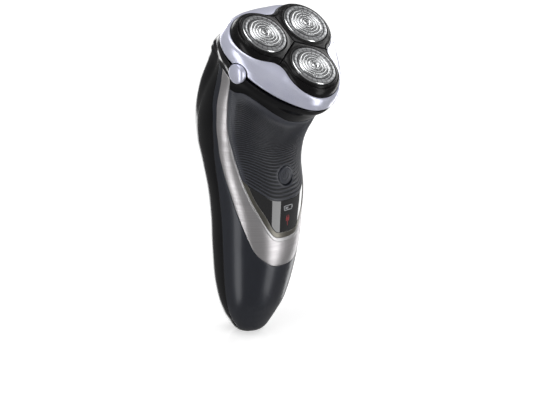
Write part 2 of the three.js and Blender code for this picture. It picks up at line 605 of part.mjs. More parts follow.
LOBES.forEach((n) => {
  const [x, y] = [cutterX(n), cutterY(n)];
  const ring = cut(bar(TOWER_RADIUS - 0.6, CHAMBER_FLOOR + 2.3, CHAMBER_FLOOR + 3.1, x, y, 10),
    bar(SPINDLE_RADIUS + 0.3, -30, 0, x, y, 10));
  piece(head, `spindle_seal_${n + 1}`, ring, FINISH.seal);
});

// gear plate under the chamber, with bearings for the spindles and posts for the chamber
const plateTop = GEAR_TOP - GEAR_THICKNESS - 0.5;
const plateFoot = plateTop - PLATE_THICKNESS;
const plateOut = innerRadius(PLATE_ROW, WALL + GAP + 0.8);
const SCREW_HEAD = 1.2;
const SCREW_SHANK = 0.7;
const motorScrewRadius = 9.6;
const motorScrewAt = LOBES.map((n) =>
  [motorScrewRadius * Math.cos(waistAngle(n)), motorScrewRadius * Math.sin(waistAngle(n))]);
const BEARING_RADIUS = 1.1;
piece(head, "gear_plate", cut(
  joined(
    slab(plateOut, plateFoot, plateTop),
    ...chamberScrewAt.map(([x, y]) =>
      bar(2.2, plateTop - 0.5, CHAMBER_FLOOR - CHAMBER_WALL - GAP, x, y, 10)),
  ),
  bar(2.4, -40, 0, 0, 0),
  ...LOBES.map((n) => bar(BEARING_RADIUS + 0.2, -40, plateTop + 1, cutterX(n), cutterY(n), 12)),
  ...motorScrewAt.map(([x, y]) => bar(SCREW_SHANK + 0.3, -40, plateTop + 1, x, y, 8)),
  ...chamberScrewAt.map(([x, y]) => bar(SCREW_SHANK + 0.2, plateFoot - 1, 0, x, y, 8)),
), FINISH.nylon);
const screw = (x, y, seat, length) => joined(
  bar(SCREW_HEAD, seat + GAP, seat + GAP + 0.9, x, y, 10),
  bar(SCREW_SHANK, seat - length, seat + GAP + 0.5, x, y, 8));
chamberScrewAt.forEach(([x, y], n) =>
  piece(head, `chamber_screw_${n + 1}`, screw(x, y, CHAMBER_FLOOR, 4), FINISH.steel));
motorScrewAt.forEach(([x, y], n) =>
  piece(head, `motor_screw_${n + 1}`, screw(x, y, plateTop, 2.6), FINISH.steel));

// gears: tooth flanks narrow outwards, so the teeth run free of each other at every angle
const gearModule = (2 * CUTTER_PITCH) / (PINION_TEETH + SPINDLE_TEETH);
function gear(teeth, phase, x, y) {
  const pitch = (gearModule * teeth) / 2;
  const step = (2 * Math.PI) / teeth;
  const shape = new THREE.Shape();
  for (let i = 0; i < teeth; i++) {
    const middle = phase + i * step;
    [[-0.3, -0.85], [-0.11, 0.5], [0.11, 0.5], [0.3, -0.85]].forEach(([share, lift], k) => {
      const angle = middle + share * step;
      const radius = pitch + lift * gearModule;
      const point = [x + radius * Math.cos(angle), y + radius * Math.sin(angle)];
      if (i === 0 && k === 0) shape.moveTo(...point);
      else shape.lineTo(...point);
    });
  }
  const geometry = new THREE.ExtrudeGeometry(shape, { depth: GEAR_THICKNESS, bevelEnabled: false });
  geometry.translate(0, 0, GEAR_TOP - GEAR_THICKNESS);
  return solid(geometry);
}
const motorTop = plateFoot - GAP;
piece(head, "motor_pinion", joined(gear(PINION_TEETH, 0, 0, 0),
  bar(1, motorTop - 3, GEAR_TOP - 0.5, 0, 0, 16)), FINISH.steel);
const SPINDLE_TIP = -5.6;
LOBES.forEach((n) => {
  const [x, y] = [cutterX(n), cutterY(n)];
  const meshPhase = third(n) + Math.PI + (Math.PI / SPINDLE_TEETH)
    + ((third(n) * PINION_TEETH) / SPINDLE_TEETH) % ((2 * Math.PI) / SPINDLE_TEETH);
  piece(head, `drive_spindle_${n + 1}`, joined(
    gear(SPINDLE_TEETH, meshPhase, x, y),
    bar(SPINDLE_RADIUS, GEAR_TOP - 1, SPINDLE_TIP, x, y, 10),
    bar(BEARING_RADIUS, plateFoot + 0.2, GEAR_TOP - 1, x, y, 10),
  ), FINISH.nylon);
});
piece(head, "motor", cut(
  joined(
    bar(MOTOR_RADIUS, motorTop - MOTOR_LENGTH, motorTop - 1, 0, 0, 24),
    bar(motorScrewRadius + 1.8, motorTop - 1.6, motorTop, 0, 0, 24),
    bar(4, motorTop - MOTOR_LENGTH - 1.5, motorTop - MOTOR_LENGTH + 1, 0, 0, 20),
  ),
  bar(1.3, motorTop - 4, 0, 0, 0, 16),
  ...motorScrewAt.map(([x, y]) => bar(SCREW_SHANK + 0.2, motorTop - 1.4, 0, x, y, 8)),
), FINISH.steel);

// release button with its spring
const RELEASE_FACE = -32.4;
const RELEASE_BACK = -28;
const dome = turned([[0, 1.1], [2.4, 0.8], [3.9, 0.1], [RELEASE_RADIUS, -1.1], [RELEASE_RADIUS, -3],
  [0, -3]], 28);
const alongMinusX = new THREE.Matrix4().makeRotationY(-Math.PI / 2)
  .setPosition(RELEASE_FACE + 1.1, RELEASE_Y, RELEASE_H);
const releaseSpringRadius = 2.6;
piece(head, "release_button", joined(
  dome.transform(alongMinusX.elements),
  releaseAxis(RELEASE_RADIUS, RELEASE_FACE + 3, RELEASE_BACK),
  releaseAxis(1.4, RELEASE_BACK - 1, RELEASE_BACK + 2, 16),
), FINISH.silver);

/** A helical spring along X made as one closed bar. */
function springX(radius, wire, x0, x1, y, z, turns, sides = 5, steps = 10) {
  const count = turns * steps;
  const rings = [];
  for (let i = 0; i <= count; i++) {
    const angle = (2 * Math.PI * i) / steps;
    const x = x0 + wire + ((x1 - x0 - 2 * wire) * i) / count;
    rings.push(Array.from({ length: sides }, (_, j) => {
      const around = (-2 * Math.PI * j) / sides;
      const reach = radius + wire * Math.cos(around);
      return [x + wire * Math.sin(around), y + reach * Math.cos(angle), z + reach * Math.sin(angle)];
    }));
  }
  return ringed(rings);
}
piece(head, "release_spring", springX(releaseSpringRadius, 0.3, RELEASE_BACK + GAP, releasePocket - GAP,
  RELEASE_Y, RELEASE_H, 3), FINISH.steel);

// ---------------------------------------------------------------- shaving unit
const STEPS_AROUND = 36;
const ringAt = (radiusAt, heightAt) => Array.from({ length: STEPS_AROUND }, (_, j) => {
  const angle = (2 * Math.PI * j) / STEPS_AROUND;
  const radius = radiusAt(angle);
  return [radius * Math.cos(angle), radius * Math.sin(angle), heightAt(angle)];
});
const waistShare = (angle) => 0.5 - 0.5 * Math.cos(3 * (angle - Math.PI / 6));
const lobed = (lobe, waist) => (angle) => threeLobes(angle, lobe, waist);
const rimLow = lobed(RIM_LOBE, RIM_WAIST);
const rimTop = lobed(PETAL_LOBE, PETAL_WAIST);
const rimTopHeight = (angle) => -5.9 + 2.9 * waistShare(angle);
const blend = (share, lift) => [
  (angle) => rimLow(angle) + (rimTop(angle) - rimLow(angle)) * share,
  (angle) => RIM_FOOT + 1.2 + (rimTopHeight(angle) - RIM_FOOT - 1.2) * lift,
];
const RIM_WALL = 1.5;
const RIM_SEAT = -9.2;
const rimRings = [
  ringAt((a) => rimLow(a) - 0.4, () => RIM_FOOT),
  ringAt(rimLow, () => RIM_FOOT + 1.2),
  ringAt(...blend(0.14, 0.42)),
  ringAt(...blend(0.42, 0.76)),
  ringAt(...blend(0.75, 0.94)),
  ringAt(rimTop, rimTopHeight),
  ringAt((a) => rimTop(a), () => RIM_SEAT),
  ringAt((a) => Math.max(rimLow(a) - 5, rimTop(a)), () => RIM_SEAT - 0.6),
  ringAt((a) => rimLow(a) - RIM_WALL - 0.4, () => RIM_FOOT),
];
const notch = releaseAxis(RELEASE_RADIUS + 0.5, -40, -20);
const rimLug = box(HINGE_X - 2.4, HINGE_X, ...headKnuckle, HINGE_H, HINGE_H + 3)
  .add(knuckle(...headKnuckle));
piece(head, "head_frame", cut(
  joined(
    cut(ringed(rimRings, true), ...collarKnuckles.map(([y0, y1]) => knuckle(y0 - GAP, y1 + GAP, GAP))),
    rimLug),
  notch,
  pinHole,
), FINISH.silver);

// three petals: a lobed dome cut along three slots
const petalOut = lobed(PETAL_LOBE - GAP, PETAL_WAIST - GAP);
const petalIn = lobed(PETAL_LOBE - 2.6, PETAL_WAIST - 2.2);
const PETAL_TOP = -0.9;
const PETAL_FOOT = -7.2;
const petalDome = ringed([
  ringAt(petalOut, () => PETAL_FOOT),
  ringAt(petalOut, rimTopHeight),
  ringAt((a) => petalOut(a) * 0.3 + petalIn(a) * 0.7, (a) => rimTopHeight(a) * 0.35 + PETAL_TOP * 0.65),
  ringAt(petalIn, () => PETAL_TOP - 0.15),
  ringAt((a) => petalIn(a) * 0.6, () => PETAL_TOP),
]);
const SLOT = 0.5;
/** A wedge of the face that belongs to one lobe, clear of its neighbours by half a slot. */
const sector = (n, clearance) => {
  const reach = 60;
  const edge = (side) => [
    reach * Math.cos(third(n) + side * (Math.PI / 3)), reach * Math.sin(third(n) + side * (Math.PI / 3))];
  const start = (clearance / 2) / Math.sin(Math.PI / 3);
  const offset = [start * Math.cos(third(n)), start * Math.sin(third(n))];
  const shape = new THREE.Shape([[0, 0], edge(-1), [2 * reach * Math.cos(third(n)),
    2 * reach * Math.sin(third(n))], edge(1)].map(([x, y]) => at(x + offset[0], y + offset[1])));
  const geometry = new THREE.ExtrudeGeometry(shape, { depth: 40, bevelEnabled: false });
  geometry.translate(0, 0, -20);
  return solid(geometry);
};
LOBES.forEach((n) => {
  piece(head, `petal_${n + 1}`, petalDome.intersect(sector(n, SLOT))
    .subtract(bar(guardRadius + GAP, -30, 10, cutterX(n), cutterY(n), 30)), FINISH.satinBlack);
});

// guards and cutters
const guardProfile = [[0, 0.25], [3, 0.2], [8.6, 0.05], [guardRadius - 0.9, -0.25],
  [guardRadius, -1.1], [guardRadius, -GUARD_DEPTH], [guardRadius - GUARD_WALL, -GUARD_DEPTH],
  [guardRadius - GUARD_WALL, -1.3], [guardRadius - 1.2, -0.8], [0, -0.35]];
const CUTTER_BLADES = 15;
const CUTTER_RADIUS = guardRadius - GUARD_WALL - 0.9;
const cutterTop = -1.2;
const bladed = (angle) => {
  const quarter = Math.round((angle * CUTTER_BLADES * 4) / (2 * Math.PI)) % 4;
  return quarter < 2 ? CUTTER_RADIUS : CUTTER_RADIUS - 3.2;
};
const HUB_RADIUS = SPINDLE_RADIUS + 1.9;
const hubFoot = -6.6;
LOBES.forEach((n) => {
  const place = new THREE.Matrix4().makeTranslation(cutterX(n), cutterY(n), 0);
  piece(head, `guard_${n + 1}`, turned(guardProfile, 20).transform(place.elements), FINISH.chrome);
  const cutter = cut(joined(
    slab(bladed, cutterTop - 1.6, cutterTop, CUTTER_BLADES * 4),
    bar(HUB_RADIUS, hubFoot, cutterTop - 1.4, 0, 0, 16),
  ), bar(SPINDLE_RADIUS + 1.1, hubFoot - 1, cutterTop - 0.8, 0, 0, 16));
  piece(head, `cutter_${n + 1}`, cutter.transform(place.elements), FINISH.steel);
});

// retaining frame and its lock under the petals
const RETAINER_TOP = -9.5;
const retainerHole = 7.2;
const LOCK_RADIUS = 3.6;
piece(head, "retaining_frame", cut(
  slab(lobed(PETAL_LOBE - 3.4, PETAL_WAIST - 3), RETAINER_TOP - 1.4, RETAINER_TOP),
  ...LOBES.map((n) => bar(retainerHole, -30, 0, cutterX(n), cutterY(n), 32)),
  bar(1.5, -30, 0, 0, 0, 16),
), FINISH.satinBlack);
piece(head, "retaining_lock", joined(
  bar(LOCK_RADIUS, RETAINER_TOP - GAP - 3.2, RETAINER_TOP - GAP - 1.4, 0, 0, 24),
  bar(1.2, RETAINER_TOP - 3, RETAINER_TOP + 0.8, 0, 0, 16),
), FINISH.inner);

// ---------------------------------------------------------------- trimmer
const mouth = new THREE.Matrix4().makeRotationX(mouthLean).setPosition(0,
  mouthRow[0] + mouthRow[4] * Math.cos(mouthLean), mouthRow[1] + mouthRow[4] * Math.sin(mouthLean));
// in the mouth's frame +Y points out of the back and +Z towards the teeth
const COMB_THICKNESS = 0.8;
const COMB_DEPTH = 1.2;            // comb below the trimmer's skin
const BLADE_THICKNESS = 0.6;
const TOOTH_LENGTH = 2.2;
const COMB_ROOT = 3;
const BLADE_STROKE = 0.8;
const combHalf = TRIMMER_WIDTH / 2 - 1;
/** A plate with a row of teeth along its upper edge. */
function toothed(half, back, front, foot, tip, pitch) {
  const count = Math.floor((2 * half) / pitch);
  const shape = new THREE.Shape();
  shape.moveTo(-half, foot);
  shape.lineTo(half, foot);
  for (let i = count; i > 0; i--) {
    const right = -half + (2 * half * i) / count;
    const step = (2 * half) / count;
    [[0, tip - TOOTH_LENGTH], [0.18, tip], [0.42, tip], [0.6, tip - TOOTH_LENGTH]].forEach(
      ([share, height]) => shape.lineTo(right - share * step, height));
  }
  shape.lineTo(-half, tip - TOOTH_LENGTH);
  const geometry = new THREE.ExtrudeGeometry(shape, { depth: front - back, bevelEnabled: false });
  geometry.rotateX(Math.PI / 2);
  geometry.translate(0, front, 0);
  return solid(geometry);
}
const bladeFront = -COMB_DEPTH - COMB_THICKNESS - GAP;
const bladeBack = bladeFront - BLADE_THICKNESS;
const comb = toothed(combHalf, -COMB_DEPTH - COMB_THICKNESS, -COMB_DEPTH, -COMB_ROOT, 4, 1.6);
const blade = toothed(combHalf - BLADE_STROKE - GAP, bladeBack, bladeFront, -COMB_ROOT, 3.6, 1.6);
const mouthCut = joined(
  box(-FAR, FAR, -20, 20, 0, 40),
  box(-combHalf - GAP, combHalf + GAP, bladeBack - GAP, -COMB_DEPTH + GAP, -COMB_ROOT - GAP, 1),
).transform(mouth.elements);
piece(shaver, "trimmer_housing", cut(trimmerSlice(0, trimmerSkin), mouthCut,
  barX(PIN_RADIUS + 0.15, -FAR, FAR, trimmerPinY, trimmerBottom, 12)), FINISH.glossBlack);
piece(shaver, "trimmer_comb", comb.transform(mouth.elements), FINISH.steel);
piece(shaver, "trimmer_blade", blade.transform(mouth.elements), FINISH.steel);
piece(shaver, "trimmer_pin", trimmerPin(0), FINISH.steel);
piece(shaver, "trimmer_slide", joined(
  box(-5.5, 5.5, 1, 2.1, -4, 4),
  box(-SLIDE_STEM / 2, SLIDE_STEM / 2, -WALL - 1.2, 1.5, -1.5, 1.5),
).transform(placeSlide.elements), FINISH.satinBlack);

export default shaver;
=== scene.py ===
"""Electric shaver: the looks of a three-headed rotary shaver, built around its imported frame."""
from __future__ import annotations

import json
import logging
import math
from dataclasses import dataclass
from enum import Enum
from typing import Callable, Sequence

import bpy
import numpy as np
from mathutils import Matrix, Vector


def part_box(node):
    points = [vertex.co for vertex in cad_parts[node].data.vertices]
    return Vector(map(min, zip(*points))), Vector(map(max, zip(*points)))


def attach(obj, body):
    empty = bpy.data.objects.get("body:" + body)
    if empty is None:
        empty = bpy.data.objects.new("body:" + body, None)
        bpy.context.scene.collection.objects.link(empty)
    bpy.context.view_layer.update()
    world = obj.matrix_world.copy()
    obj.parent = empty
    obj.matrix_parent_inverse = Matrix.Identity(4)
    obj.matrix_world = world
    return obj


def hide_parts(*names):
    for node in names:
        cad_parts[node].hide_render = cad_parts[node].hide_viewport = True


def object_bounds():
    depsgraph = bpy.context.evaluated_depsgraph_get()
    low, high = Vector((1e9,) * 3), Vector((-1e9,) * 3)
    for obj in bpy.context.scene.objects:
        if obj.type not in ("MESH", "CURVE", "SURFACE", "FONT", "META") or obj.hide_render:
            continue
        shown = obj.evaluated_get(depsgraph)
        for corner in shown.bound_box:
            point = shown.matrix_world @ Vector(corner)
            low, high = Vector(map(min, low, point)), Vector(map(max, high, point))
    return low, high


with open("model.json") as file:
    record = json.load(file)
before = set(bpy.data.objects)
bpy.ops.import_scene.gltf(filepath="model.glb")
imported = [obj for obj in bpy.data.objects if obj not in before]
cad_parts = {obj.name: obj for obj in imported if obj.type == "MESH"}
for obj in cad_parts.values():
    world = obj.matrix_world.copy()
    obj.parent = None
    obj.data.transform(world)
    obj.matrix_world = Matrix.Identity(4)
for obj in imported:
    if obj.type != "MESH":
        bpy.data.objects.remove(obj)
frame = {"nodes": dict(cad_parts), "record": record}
CAD_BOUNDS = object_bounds()
LOG = logging.getLogger("shaver")
MM = 0.001
Array = np.ndarray
Piece = bpy.types.Object
Socket = bpy.types.NodeSocket
Tree = bpy.types.NodeTree
Colour = tuple[float, float, float]


# ------------------------------------------------------------------ shape mathematics
FACE_TILT = math.radians(37.6)
FACE_CENTRE = np.array([0.0, -30.6, 150.0])
CUTTER_PITCH = 15.66
FULLNESS = 2.12
COLLAR_LOBE = 17.2
COLLAR_WAIST = 29.3
COLLAR_HALF = 31.5
COLLAR_TOP = -13.2
BUTTON_HEIGHT = 82.9
FRONT = 1.5 * math.pi


def head_to_world(points: Array) -> Array:
    """Turn points of the shaving face's frame into the shaver's frame.

    The face's frame has X across, Y up the face and Z out of the face; it is leaned forward by the
    face's tilt about X and moved to the face's centre.

    Args:
        points: rows of (u, v, h) in millimetres.

    Returns:
        rows of (x, y, z) in millimetres.
    """
    u, v, h = points[..., 0], points[..., 1], points[..., 2]
    cos, sin = math.cos(FACE_TILT), math.sin(FACE_TILT)
    y = FACE_CENTRE[1] + v * cos - h * sin
    z = FACE_CENTRE[2] + v * sin + h * cos
    return np.stack([u + 0 * y, y, z], axis=-1)


def on_axis(height: float) -> tuple[float, float]:
    """Y and Z of a point on the face's axis, given by its height along the face's normal."""
    y, z = float(FACE_CENTRE[1]), float(FACE_CENTRE[2])
    return y - height * math.sin(FACE_TILT), z + height * math.cos(FACE_TILT)


# centre y, centre z, lean, half width, half depth, share of the three-lobed outline
SECTIONS = np.array([
    [0.3, 0.0, 0, 6.4, 6.2, 0],
    [0.5, 1.8, 0, 8.6, 8.4, 0],
    [0.5, 5.0, 0, 10.7, 10.5, 0],
    [0.2, 9.8, 0, 13.3, 13.1, 0],
    [-0.8, 17, 0, 16.1, 16.1, 0],
    [-1.8, 28, 0, 18.5, 18.8, 0],
    [-3.3, 43, 0, 20.4, 20.8, 0],
    [-3.9, 58, 0, 21.3, 21.8, 0],
    [-3.7, 73, 0, 22.9, 22.7, 0],
    [-1.2, 86, 1, 24.2, 22.8, 0],
    [-0.3, 97, 5, 26.2, 24.3, 0],
    [-2.2, 107, 14, 28.0, 25.4, 0],
    [-7.0, 117.5, 27, 28.6, 26.0, 0.15],
    [*on_axis(-28), 37.6, 28.6, 26.2, 0.4],
    [*on_axis(-20), 37.6, 29.6, 28.2, 0.8],
    [*on_axis(-16), 37.6, 31.0, 30.8, 1],
    [*on_axis(COLLAR_TOP), 37.6, COLLAR_HALF, COLLAR_HALF, 1],
])
TOP = len(SECTIONS) - 1
NECK_ROW = 13.6
HALF_DEPTH = 4  # place of the half depth in a row of the sections
FRONT_SHARE = 0.9995  # depth share from which a seam counts as having reached the front
ROLL_POINTS = 6

# swelling at the back corners: row number along the sections, then millimetres
SHOULDER = np.array([[10, 0], [11, 0.6], [12, 1.8], [13, 2.9], [13.8, 3.4], [14.4, 2.6],
                     [15, 0.8], [16, 0]])

# seam lines: row number along the sections, then place across the depth, -1 front and 1 back
SEAM = np.array([[0, -0.75], [0.6, -0.5], [1.4, -0.15], [3.2, 0], [4.6, 0], [5.6, 0.01], [6.7, 0.03],
                 [7.9, 0.03], [9.07, -0.05], [10.4, -0.12], [11.4, -0.03], [12.2, 0.16],
                 [13, 0.32], [13.9, 0.42]])
TRIM_OUTER = np.array([[5.66, -1.08], [5.69, -0.97], [5.9, -0.87], [6.3, -0.7], [7.3, -0.44],
                       [8, -0.31], [8.8, -0.25], [9.5, -0.23], [10.6, -0.21], [11.6, -0.09],
                       [12.4, 0.07], [13.2, 0.2], [13.9, 0.28]])
TRIM_INNER = np.array([[6.62, -1.08], [6.68, -0.97], [6.95, -0.9], [7.36, -0.81], [7.95, -0.68],
                       [8.45, -0.615], [8.8, -0.585], [9.5, -0.54], [10.75, -0.45], [12, -0.28],
                       [12.77, -0.12], [13.3, -0.03], [13.9, 0.05]])
WINDOW_EDGE = np.array([[6.8, -1.08], [6.84, -0.98], [7.0, -0.935], [7.42, -0.865], [8, -0.735],
                        [8.5, -0.675], [8.9, -0.64], [9.4, -0.6]])
GRIP_EDGE = np.array([[7.84, -1.1], [7.95, -0.95], [8.26, -0.82], [8.66, -0.63], [9, -0.45]])
COLLAR_EDGE = np.array([[13.2, -1.1], [13.28, -1], [13.6, -0.82], [13.9, -0.52], [13.8, -0.3],
                        [13.4, -0.17], [13.25, -0.04], [13.22, 0.09], [13.26, 0.26], [13.42, 0.38],
                        [13.75, 0.5], [14.15, 0.62], [14.45, 0.8], [14.55, 1.1]])


def along(rows: Array, t: Array) -> Array:
    """Read a smooth curve through rows of numbers at row numbers that need not be whole.

    The curve is a uniform Catmull-Rom spline, and its ends continue straight.

    Args:
        rows: one row of numbers for each whole row number.
        t: row numbers.

    Returns:
        the rows at t, with one more axis than t.
    """
    rows = np.asarray(rows, float)
    last = len(rows) - 1
    t = np.clip(np.asarray(t, float), 0, last)
    i = np.minimum(t.astype(int), last - 1)
    f = (t - i)[..., None]
    padded = np.vstack([2 * rows[0] - rows[1], rows, 2 * rows[-1] - rows[-2]])
    a, b, c, d = padded[i], padded[i + 1], padded[i + 2], padded[i + 3]
    return 0.5 * (2 * b + (c - a) * f + (2 * a - 5 * b + 4 * c - d) * f ** 2
                  + (3 * b - a - 3 * c + d) * f ** 3)


def three_lobes(angle: Array, lobe: float, waist: float) -> Array:
    """Polar radius of three equal lobes joined by wide arcs.

    A lobe of radius `lobe` sits about each cutter's axis, at 30, 150 and 270 degrees; between two
    lobes an arc that touches both passes at `waist` from the middle.

    Args:
        angle: polar angles in radians.
        lobe: radius of each lobe, in millimetres.
        waist: reach half-way between two lobes, in millimetres.

    Returns:
        the radius at each angle, in millimetres.
    """
    reach = waist - lobe
    centre = (reach ** 2 - CUTTER_PITCH ** 2) / (2 * reach - CUTTER_PITCH)
    radius = waist - centre
    arc = centre * np.array([0.5, math.sqrt(3) / 2])
    side = 1.0 if radius > 0 else -1.0
    away = side * (np.array([CUTTER_PITCH, 0.0]) - arc)
    join = np.array([CUTTER_PITCH, 0.0]) + lobe * away / np.linalg.norm(away)
    third = 2 * math.pi / 3
    from_lobe = np.abs((angle - math.pi / 6 + third / 2) % third - third / 2)
    across = CUTTER_PITCH * np.sin(from_lobe)
    on_lobe = CUTTER_PITCH * np.cos(from_lobe) + np.sqrt(np.maximum(lobe ** 2 - across ** 2, 0))
    from_waist = third / 2 - from_lobe
    off = centre * np.sin(from_waist)
    on_arc = centre * np.cos(from_waist) + side * np.sqrt(np.maximum(radius ** 2 - off ** 2, 0))
    return np.where(from_lobe < math.atan2(join[1], join[0]), on_lobe, on_arc)


def section_radius(rows: Array, angle: Array) -> Array:
    """Polar radius of the handle's cross-sections: an oval blended into the three-lobed collar."""
    a, b, lobes = rows[..., 3], rows[..., HALF_DEPTH], rows[..., 5]
    oval = (np.abs(np.cos(angle) / a) ** FULLNESS
            + np.abs(np.sin(angle) / b) ** FULLNESS) ** (-1 / FULLNESS)
    lobed = three_lobes(angle, COLLAR_LOBE, COLLAR_WAIST) * a / COLLAR_HALF
    return oval * (1 - lobes) + lobed * lobes


def handle_point(t: Array, angle: Array, proud: Array | float = 0.0) -> Array:
    """Points of the handle's form.

    Args:
        t: row numbers along the sections.
        angle: polar angle in the section, 0 to the right and -90 degrees to the front.
        proud: how far the point stands out of the form, in millimetres.

    Returns:
        (x, y, z) of each point in millimetres.
    """
    rows = along(SECTIONS, t)
    radius = section_radius(rows, angle) + proud
    depth = radius * np.sin(angle)
    lean = np.radians(rows[..., 2])
    return np.stack([radius * np.cos(angle), rows[..., 0] + depth * np.cos(lean),
                     rows[..., 1] + depth * np.sin(lean)], axis=-1)


def on_handle(grid: Array, proud: Array | float = 0.0) -> Array:
    """Points of the handle's form for a grid of (row number, angle)."""
    return handle_point(grid[..., 0], grid[..., 1], proud)


def depth_share(t: Array, angle: Array) -> Array:
    """Place across the depth, -1 front and 1 back, of points of the handle's form."""
    rows = along(SECTIONS, t)
    return section_radius(rows, angle) * np.sin(angle) / rows[:, HALF_DEPTH]


def circle(count: int) -> Array:
    """Evenly spaced angles once round, in radians."""
    return np.linspace(0, 2 * math.pi, count, endpoint=False)


def smooth_step(value: Array, start: float, stop: float) -> Array:
    """0 below start, 1 above stop and a smooth rise between them."""
    share = np.clip((value - start) / (stop - start), 0, 1)
    return share ** 2 * (3 - 2 * share)


def shoulder(t: Array, angle: Array) -> Array:
    """How far the handle swells behind the head, in millimetres.

    The swelling grows from nothing at the sides to its full size at the two back corners; below
    the head's hood it leaves the middle of the back, where the trimmer lies, as it was.
    """
    size = np.interp(t, *SHOULDER.T)
    behind = smooth_step(np.sin(angle), 0.42, 0.67)
    corner = smooth_step(np.abs(np.cos(angle)), 0.55, 0.76)
    hood = 0.3 * smooth_step(t, 12.5, 13.1)
    return size * behind * (corner + (1 - corner) * hood)


def side_angle(t: Array, depth: Array) -> Array:
    """Angle on the left half of a section whose depth share is given; found by halving."""
    t, depth = np.broadcast_arrays(np.asarray(t, float), np.asarray(depth, float))
    rows = along(SECTIONS, t)
    low = np.full(t.shape, math.pi / 2)
    high = np.full(t.shape, 3 * math.pi / 2)
    goal = depth * rows[..., HALF_DEPTH]
    for _ in range(40):
        middle = (low + high) / 2
        value = section_radius(rows, middle) * np.sin(middle)
        above = value > goal
        low = np.where(above, middle, low)
        high = np.where(above, high, middle)
    return (low + high) / 2


@dataclass(frozen=True)
class SeamLine:
    """A seam on the handle, the same on both sides, as points of row number and depth share."""

    points: Array

    def fine(self, count: int = 1600) -> Array:
        """The seam as many (row number, depth share) points from the front upwards."""
        share = np.linspace(0, len(self.points) - 1, count)
        line = along(self.points, share)
        return line[line[:, 1] > -FRONT_SHARE]

    def depth_at(self, t: Array) -> Array:
        """Depth share of the seam at row numbers, for a seam that climbs all the way."""
        line = self.fine()
        return np.interp(t, line[:, 0], line[:, 1])

    def row_at(self, depth: Array) -> Array:
        """Row number of the seam at depth shares, for a seam that runs from front to back."""
        line = self.fine()
        return np.interp(depth, line[:, 1], line[:, 0])

    def meets(self, other: "SeamLine") -> tuple[int, int]:
        """Places in the two fine lines where the seams come nearest to each other.

        A depth share is weighed as three row numbers, about what both are in millimetres.
        """
        mine, theirs = self.fine(), other.fine()
        apart = (mine[:, None, 0] - theirs[None, :, 0]) ** 2
        apart = apart + 3 ** 2 * (mine[:, None, 1] - theirs[None, :, 1]) ** 2
        first, second = np.unravel_index(np.argmin(apart), apart.shape)
        return int(first), int(second)

    def path(self, count: int, start: int = 0, stop: int | None = None) -> Array:
        """The seam's left half as evenly spaced (row number, angle) points.

        Args:
            count: number of points.
            start: place in the fine line where the path begins; 0 is the front's middle line.
            stop: place in the fine line where the path ends.

        Returns:
            an array of (row number, angle), angle between 90 and 270 degrees.
        """
        line = self.fine()[start:stop]
        pairs = np.c_[line[:, 0], side_angle(line[:, 0], line[:, 1])]
        if start == 0:
            pairs = np.vstack([[pairs[0, 0], FRONT], pairs])
        return evenly(pairs, count)


def evenly(pairs: Array, count: int) -> Array:
    """Space (row number, angle) points evenly by their distance on the handle's surface."""
    xyz = on_handle(pairs)
    length = np.r_[0, np.cumsum(np.linalg.norm(np.diff(xyz, axis=0), axis=1))]
    even = np.linspace(0, length[-1], count)
    return np.c_[np.interp(even, length, pairs[:, 0]), np.interp(even, length, pairs[:, 1])]


def mirrored(pairs: Array) -> Array:
    """The same path on the right half: the angle is reflected in the front's middle line."""
    return np.c_[pairs[:, 0], 2 * FRONT - pairs[:, 1]]


def both_sides(left: Array) -> Array:
    """A path from the left end through the front's middle to the right end."""
    return np.vstack([left[::-1], mirrored(left)[1:]])


def cluster(count: int, length: float, bevel: float) -> Array:
    """Shares from 0 to 1 that crowd towards both ends, where an edge of that bevel is rolled."""
    roll = bevel * (1 - np.cos(np.linspace(0, math.pi / 2, ROLL_POINTS))) / length
    return np.r_[roll[:-1], np.linspace(roll[-1], 1 - roll[-1], count), 1 - roll[:-1][::-1]]


def resample(path: Array, shares: Array) -> Array:
    """Read an evenly spaced path at shares of its length."""
    place = np.linspace(0, 1, len(path))
    return np.stack([np.interp(shares, place, path[:, k]) for k in range(path.shape[1])], axis=1)


def ruled(first: Array, second: Array, across: Array) -> Array:
    """Straight lines in (row number, angle) between matching points of two paths."""
    share = across[None, :, None]
    return first[:, None, :] * (1 - share) + second[:, None, :] * share


def coons(left: Array, right: Array, low: Array, high: Array, u: Array, v: Array) -> Array:
    """A patch filled in between four edge paths: the sum of both rulings less the corners' plane.

    Args:
        left: path up the left edge.
        right: path up the right edge.
        low: path along the lower edge, left to right.
        high: path along the upper edge, left to right.
        u: shares across.
        v: shares up.

    Returns:
        a grid of (row number, angle), first axis up, second axis across.
    """
    rise_left, rise_right = resample(left, v)[:, None, :], resample(right, v)[:, None, :]
    run_low, run_high = resample(low, u)[None, :, :], resample(high, u)[None, :, :]
    s, r = v[:, None, None], u[None, :, None]
    corners = ((1 - r) * (1 - s) * low[0] + r * (1 - s) * low[-1]
               + (1 - r) * s * high[0] + r * s * high[-1])
    return (1 - r) * rise_left + r * rise_right + (1 - s) * run_low + s * run_high - corners


def roll_off(near: Array, bevel: float) -> Array:
    """Fall of a rolled edge at distances from it: a quarter circle of the bevel's radius."""
    inside = np.clip(bevel - near, 0, bevel)
    return bevel - np.sqrt(np.maximum(bevel ** 2 - inside ** 2, 0))


